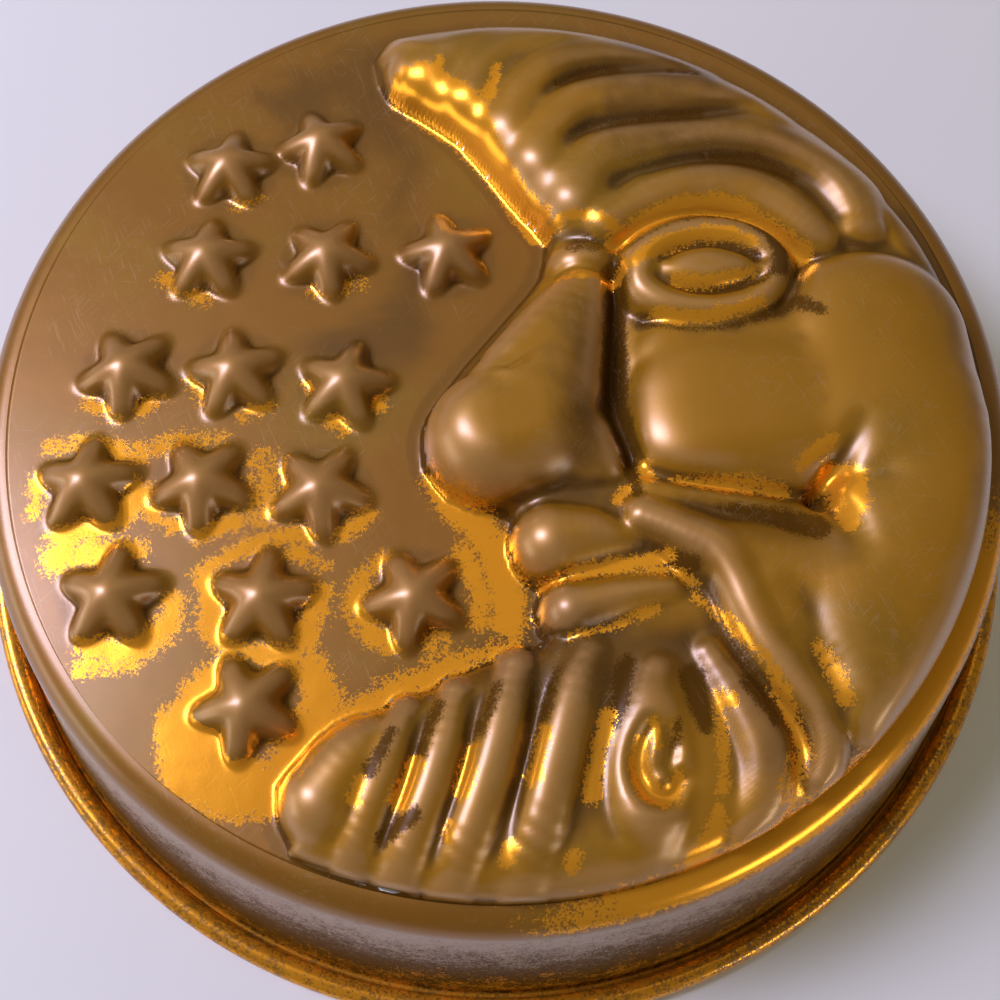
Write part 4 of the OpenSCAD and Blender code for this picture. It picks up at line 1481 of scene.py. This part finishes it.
        # Painted shade: narrow grooves darkened, joined with the dark patches
        groove = s.spread(s.value("hollow"), 0.25, 0.9, 0.0, 0.85)
        shade = s.math("MAXIMUM", s.spread(dark, -0.25, 0.45, 0.0, self.darkest), groove)
        lines = self.scratch_lines(s, where)
        film = self.film(s, where, wide, cloud, shade)
        film = s.blend(s.math("MULTIPLY", lines, self.scratch_share), film, self.haze)
        metal = s.math("MULTIPLY", self.film_metal, s.spread(shade, 0, 1, 1.0, 0.15))
        rough = s.spread(bare_and_glow, 0, 1, self.tarnish_roughness, self.bare_roughness)
        dull = s.math("MULTIPLY", s.math("MAXIMUM", bare_and_glow, shade), self.gloss_lost)
        s.finish(
            Base_Color=s.blend(bare_and_glow, film, self.bare_and_glow),
            Metallic=s.math("MAXIMUM", metal, s.math("MULTIPLY", bare_and_glow, self.bare_metal)),
            Roughness=s.math("ADD", rough, s.spread(cloud, 0.3, 0.7, -0.04, 0.05)),
            Specular_IOR_Level=s.spread(shade, 0, 1, self.specular, 0.0),
            Coat_Weight=s.math("SUBTRACT", self.gloss, dull),
            Coat_Roughness=self.coat_roughness,
            Coat_IOR=1.5,
            Normal=self.unevenness(s, where, lines, bare_and_glow),
        )
        return s.material


@dataclass(frozen=True)
class TinnedInside:
    """The inside, wiped with tin and gone grey.

    Args:
        tin: Colour of the tin.
        stain: Colour of its stains.
        roughness: Roughness of the tin.
        cloud: Noise of the stains.
    """

    tin: Colour = (0.50, 0.47, 0.43)
    stain: Colour = (0.34, 0.27, 0.21)
    roughness: float = 0.42
    cloud: Mottling = Mottling(40, 6, 0.6, 0.5)

    def build(self) -> bpy.types.Material:
        """Make the finish.

        Returns:
            The material.
        """
        s = Shader("tinned_inside")
        cloud = s.spread(self.cloud.over(s, s.place()), 0.42, 0.68)
        s.finish(Base_Color=s.blend(cloud, self.tin, self.stain), Metallic=1.0, Roughness=self.roughness)
        return s.material


@dataclass(frozen=True)
class StudioFloor:
    """The plain pale floor and its finish.

    Args:
        colour: Its colour.
        roughness: Its roughness.
        size: Length of its sides in metres.
        drop: How far it lies under the mould in metres, so that the two don't flicker.
    """

    colour: Colour = (0.74, 0.73, 0.70)
    roughness: float = 0.75
    size: float = 6.0
    drop: float = 0.0002

    def build(self) -> None:
        """Lay the floor."""
        bpy.ops.mesh.primitive_plane_add(size=self.size, location=(0, 0, -self.drop))
        floor = bpy.context.object
        floor.name = "studio_floor"
        s = Shader("pale_floor")
        s.finish(Base_Color=self.colour, Roughness=self.roughness)
        floor.data.materials.append(s.material)


@dataclass(frozen=True)
class Softbox:
    """One soft area light.

    Args:
        name: Its name.
        place: Where it hangs, in metres.
        size: Its width and height in metres.
        power: Its power in watts.
        colour: Its colour.
    """

    name: str
    place: tuple[float, float, float]
    size: tuple[float, float]
    power: float
    colour: Colour

    def build(self) -> None:
        """Hang the light, aimed at the mould."""
        lamp = bpy.data.lights.new(self.name, "AREA")
        lamp.shape = "RECTANGLE"
        lamp.size, lamp.size_y = self.size
        lamp.energy = self.power
        lamp.color = self.colour
        obj = bpy.data.objects.new(self.name, lamp)
        place = Matrix.Translation(self.place)
        aim = (-place.translation).to_track_quat("-Z", "Y").to_matrix().to_4x4()
        obj.matrix_world = place @ aim
        bpy.context.scene.collection.objects.link(obj)


@dataclass(frozen=True)
class PhotoCamera:
    """The camera at the photograph's place.

    Args:
        place: Where it stands, in millimetres.
        tilt: How far it leans up from looking straight down, in degrees.
        turn: How far it leans to the side, in degrees.
        focal: Focal length in pixels of the picture.
        centre: Pixel of the picture that the lens looks at.
        picture: Width of the picture in pixels.
        sensor: Width of the sensor in millimetres.
    """

    place: tuple[float, float, float] = (-2.02, -104.24, 263.55)
    tilt: float = 20.41
    turn: float = -0.404
    focal: float = 1071.2
    centre: tuple[float, float] = (496.52, 500.01)
    picture: float = 1000.0
    sensor: float = 36.0

    def build(self) -> None:
        """Set up the camera."""
        data = bpy.data.cameras.new("photo_camera")
        data.sensor_width = self.sensor
        data.lens = self.sensor * self.focal / self.picture
        data.shift_x = (self.picture / 2 - self.centre[0]) / self.picture
        data.shift_y = (self.centre[1] - self.picture / 2) / self.picture
        data.clip_start, data.clip_end = 0.01, 20.0
        obj = bpy.data.objects.new("photo_camera", data)
        tilted = Matrix.Rotation(math.radians(self.tilt), 4, "X")
        turned = Matrix.Rotation(math.radians(self.turn), 4, "Y")
        obj.matrix_world = Matrix.Translation([v * MM for v in self.place]) @ (tilted @ turned)
        bpy.context.scene.collection.objects.link(obj)
        bpy.context.scene.camera = obj


@dataclass(frozen=True)
class Studio:
    """Floor, lights, surroundings and camera.

    Args:
        floor: The floor.
        boxes: The lights.
        camera: The camera.
        surroundings: Colour of the light from all round.
        strength: Strength of that light.
    """

    floor: StudioFloor = StudioFloor()
    boxes: Sequence[Softbox] = (
        Softbox("window_left", (-0.86, 0.20, 1.09), (0.42, 0.56), 20.0, (0.68, 0.68, 1.0)),
        Softbox("low_left", (-1.3, -0.28, 0.24), (0.9, 0.36), 3.2, (1.0, 0.95, 0.90)),
        Softbox("ceiling", (-0.45, 0.85, 1.5), (2.6, 2.0), 6.0, (1.0, 0.86, 0.50)),
        Softbox("fill_front_right", (0.9, -0.9, 0.35), (0.6, 0.3), 3.0, (1.0, 0.96, 0.92)),
    )
    camera: PhotoCamera = PhotoCamera()
    surroundings: Colour = (1.0, 0.90, 0.66)
    strength: float = 0.16

    def build(self) -> None:
        """Set everything up."""
        self.floor.build()
        for box in self.boxes:
            box.build()
        world = bpy.data.worlds.new("studio")
        world.use_nodes = True
        background = world.node_tree.nodes["Background"]
        background.inputs["Color"].default_value = (*self.surroundings, 1.0)
        background.inputs["Strength"].default_value = self.strength
        scene = bpy.context.scene
        scene.world = world
        scene.view_settings.view_transform = "Standard"
        self.camera.build()


@dataclass(frozen=True)
class CopperMould:
    """The whole mould: one pressed copper sheet, built as its top and its wall with the rim.

    Args:
        body: Sizes of the body.
        outside: Finish of the outside.
        inside: Finish of the inside.
        headroom: How far the highest point keeps below the solid model's, in millimetres.
    """

    body: Body = Body()
    outside: TarnishedCopper = TarnishedCopper()
    inside: TinnedInside = TinnedInside()
    headroom: float = 0.01

    def pressed(self) -> PressedRelief:
        """Press the relief just so far that it stays inside the solid model's box.

        Returns:
            The relief.
        """
        peak = PressedTop(self.body, PressedRelief()).peak()
        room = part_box("mould")[1].z / MM - self.body.plate_height - self.headroom
        relief = PressedRelief(lift=min(1.0, room / peak))
        log.info("relief drawn %.2f mm high, pressed at %.3f", peak, relief.lift)
        return relief

    def build(self) -> None:
        """Make the pieces and give them their finishes."""
        finishes = [self.outside.build(), self.inside.build()]
        for maker in (PressedTop(self.body, self.pressed()), WallAndRim(self.body)):
            piece = maker.build()
            for finish in finishes:
                piece.data.materials.append(finish)
            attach(piece, "root")
            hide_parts("mould")
            log.info("%s: %d faces", piece.name, len(piece.data.polygons))


def main() -> None:
    """Build the mould and the studio round it."""
    logging.basicConfig(level=logging.INFO)
    CopperMould().build()
    Studio().build()


if __name__ == "__main__":
    main()
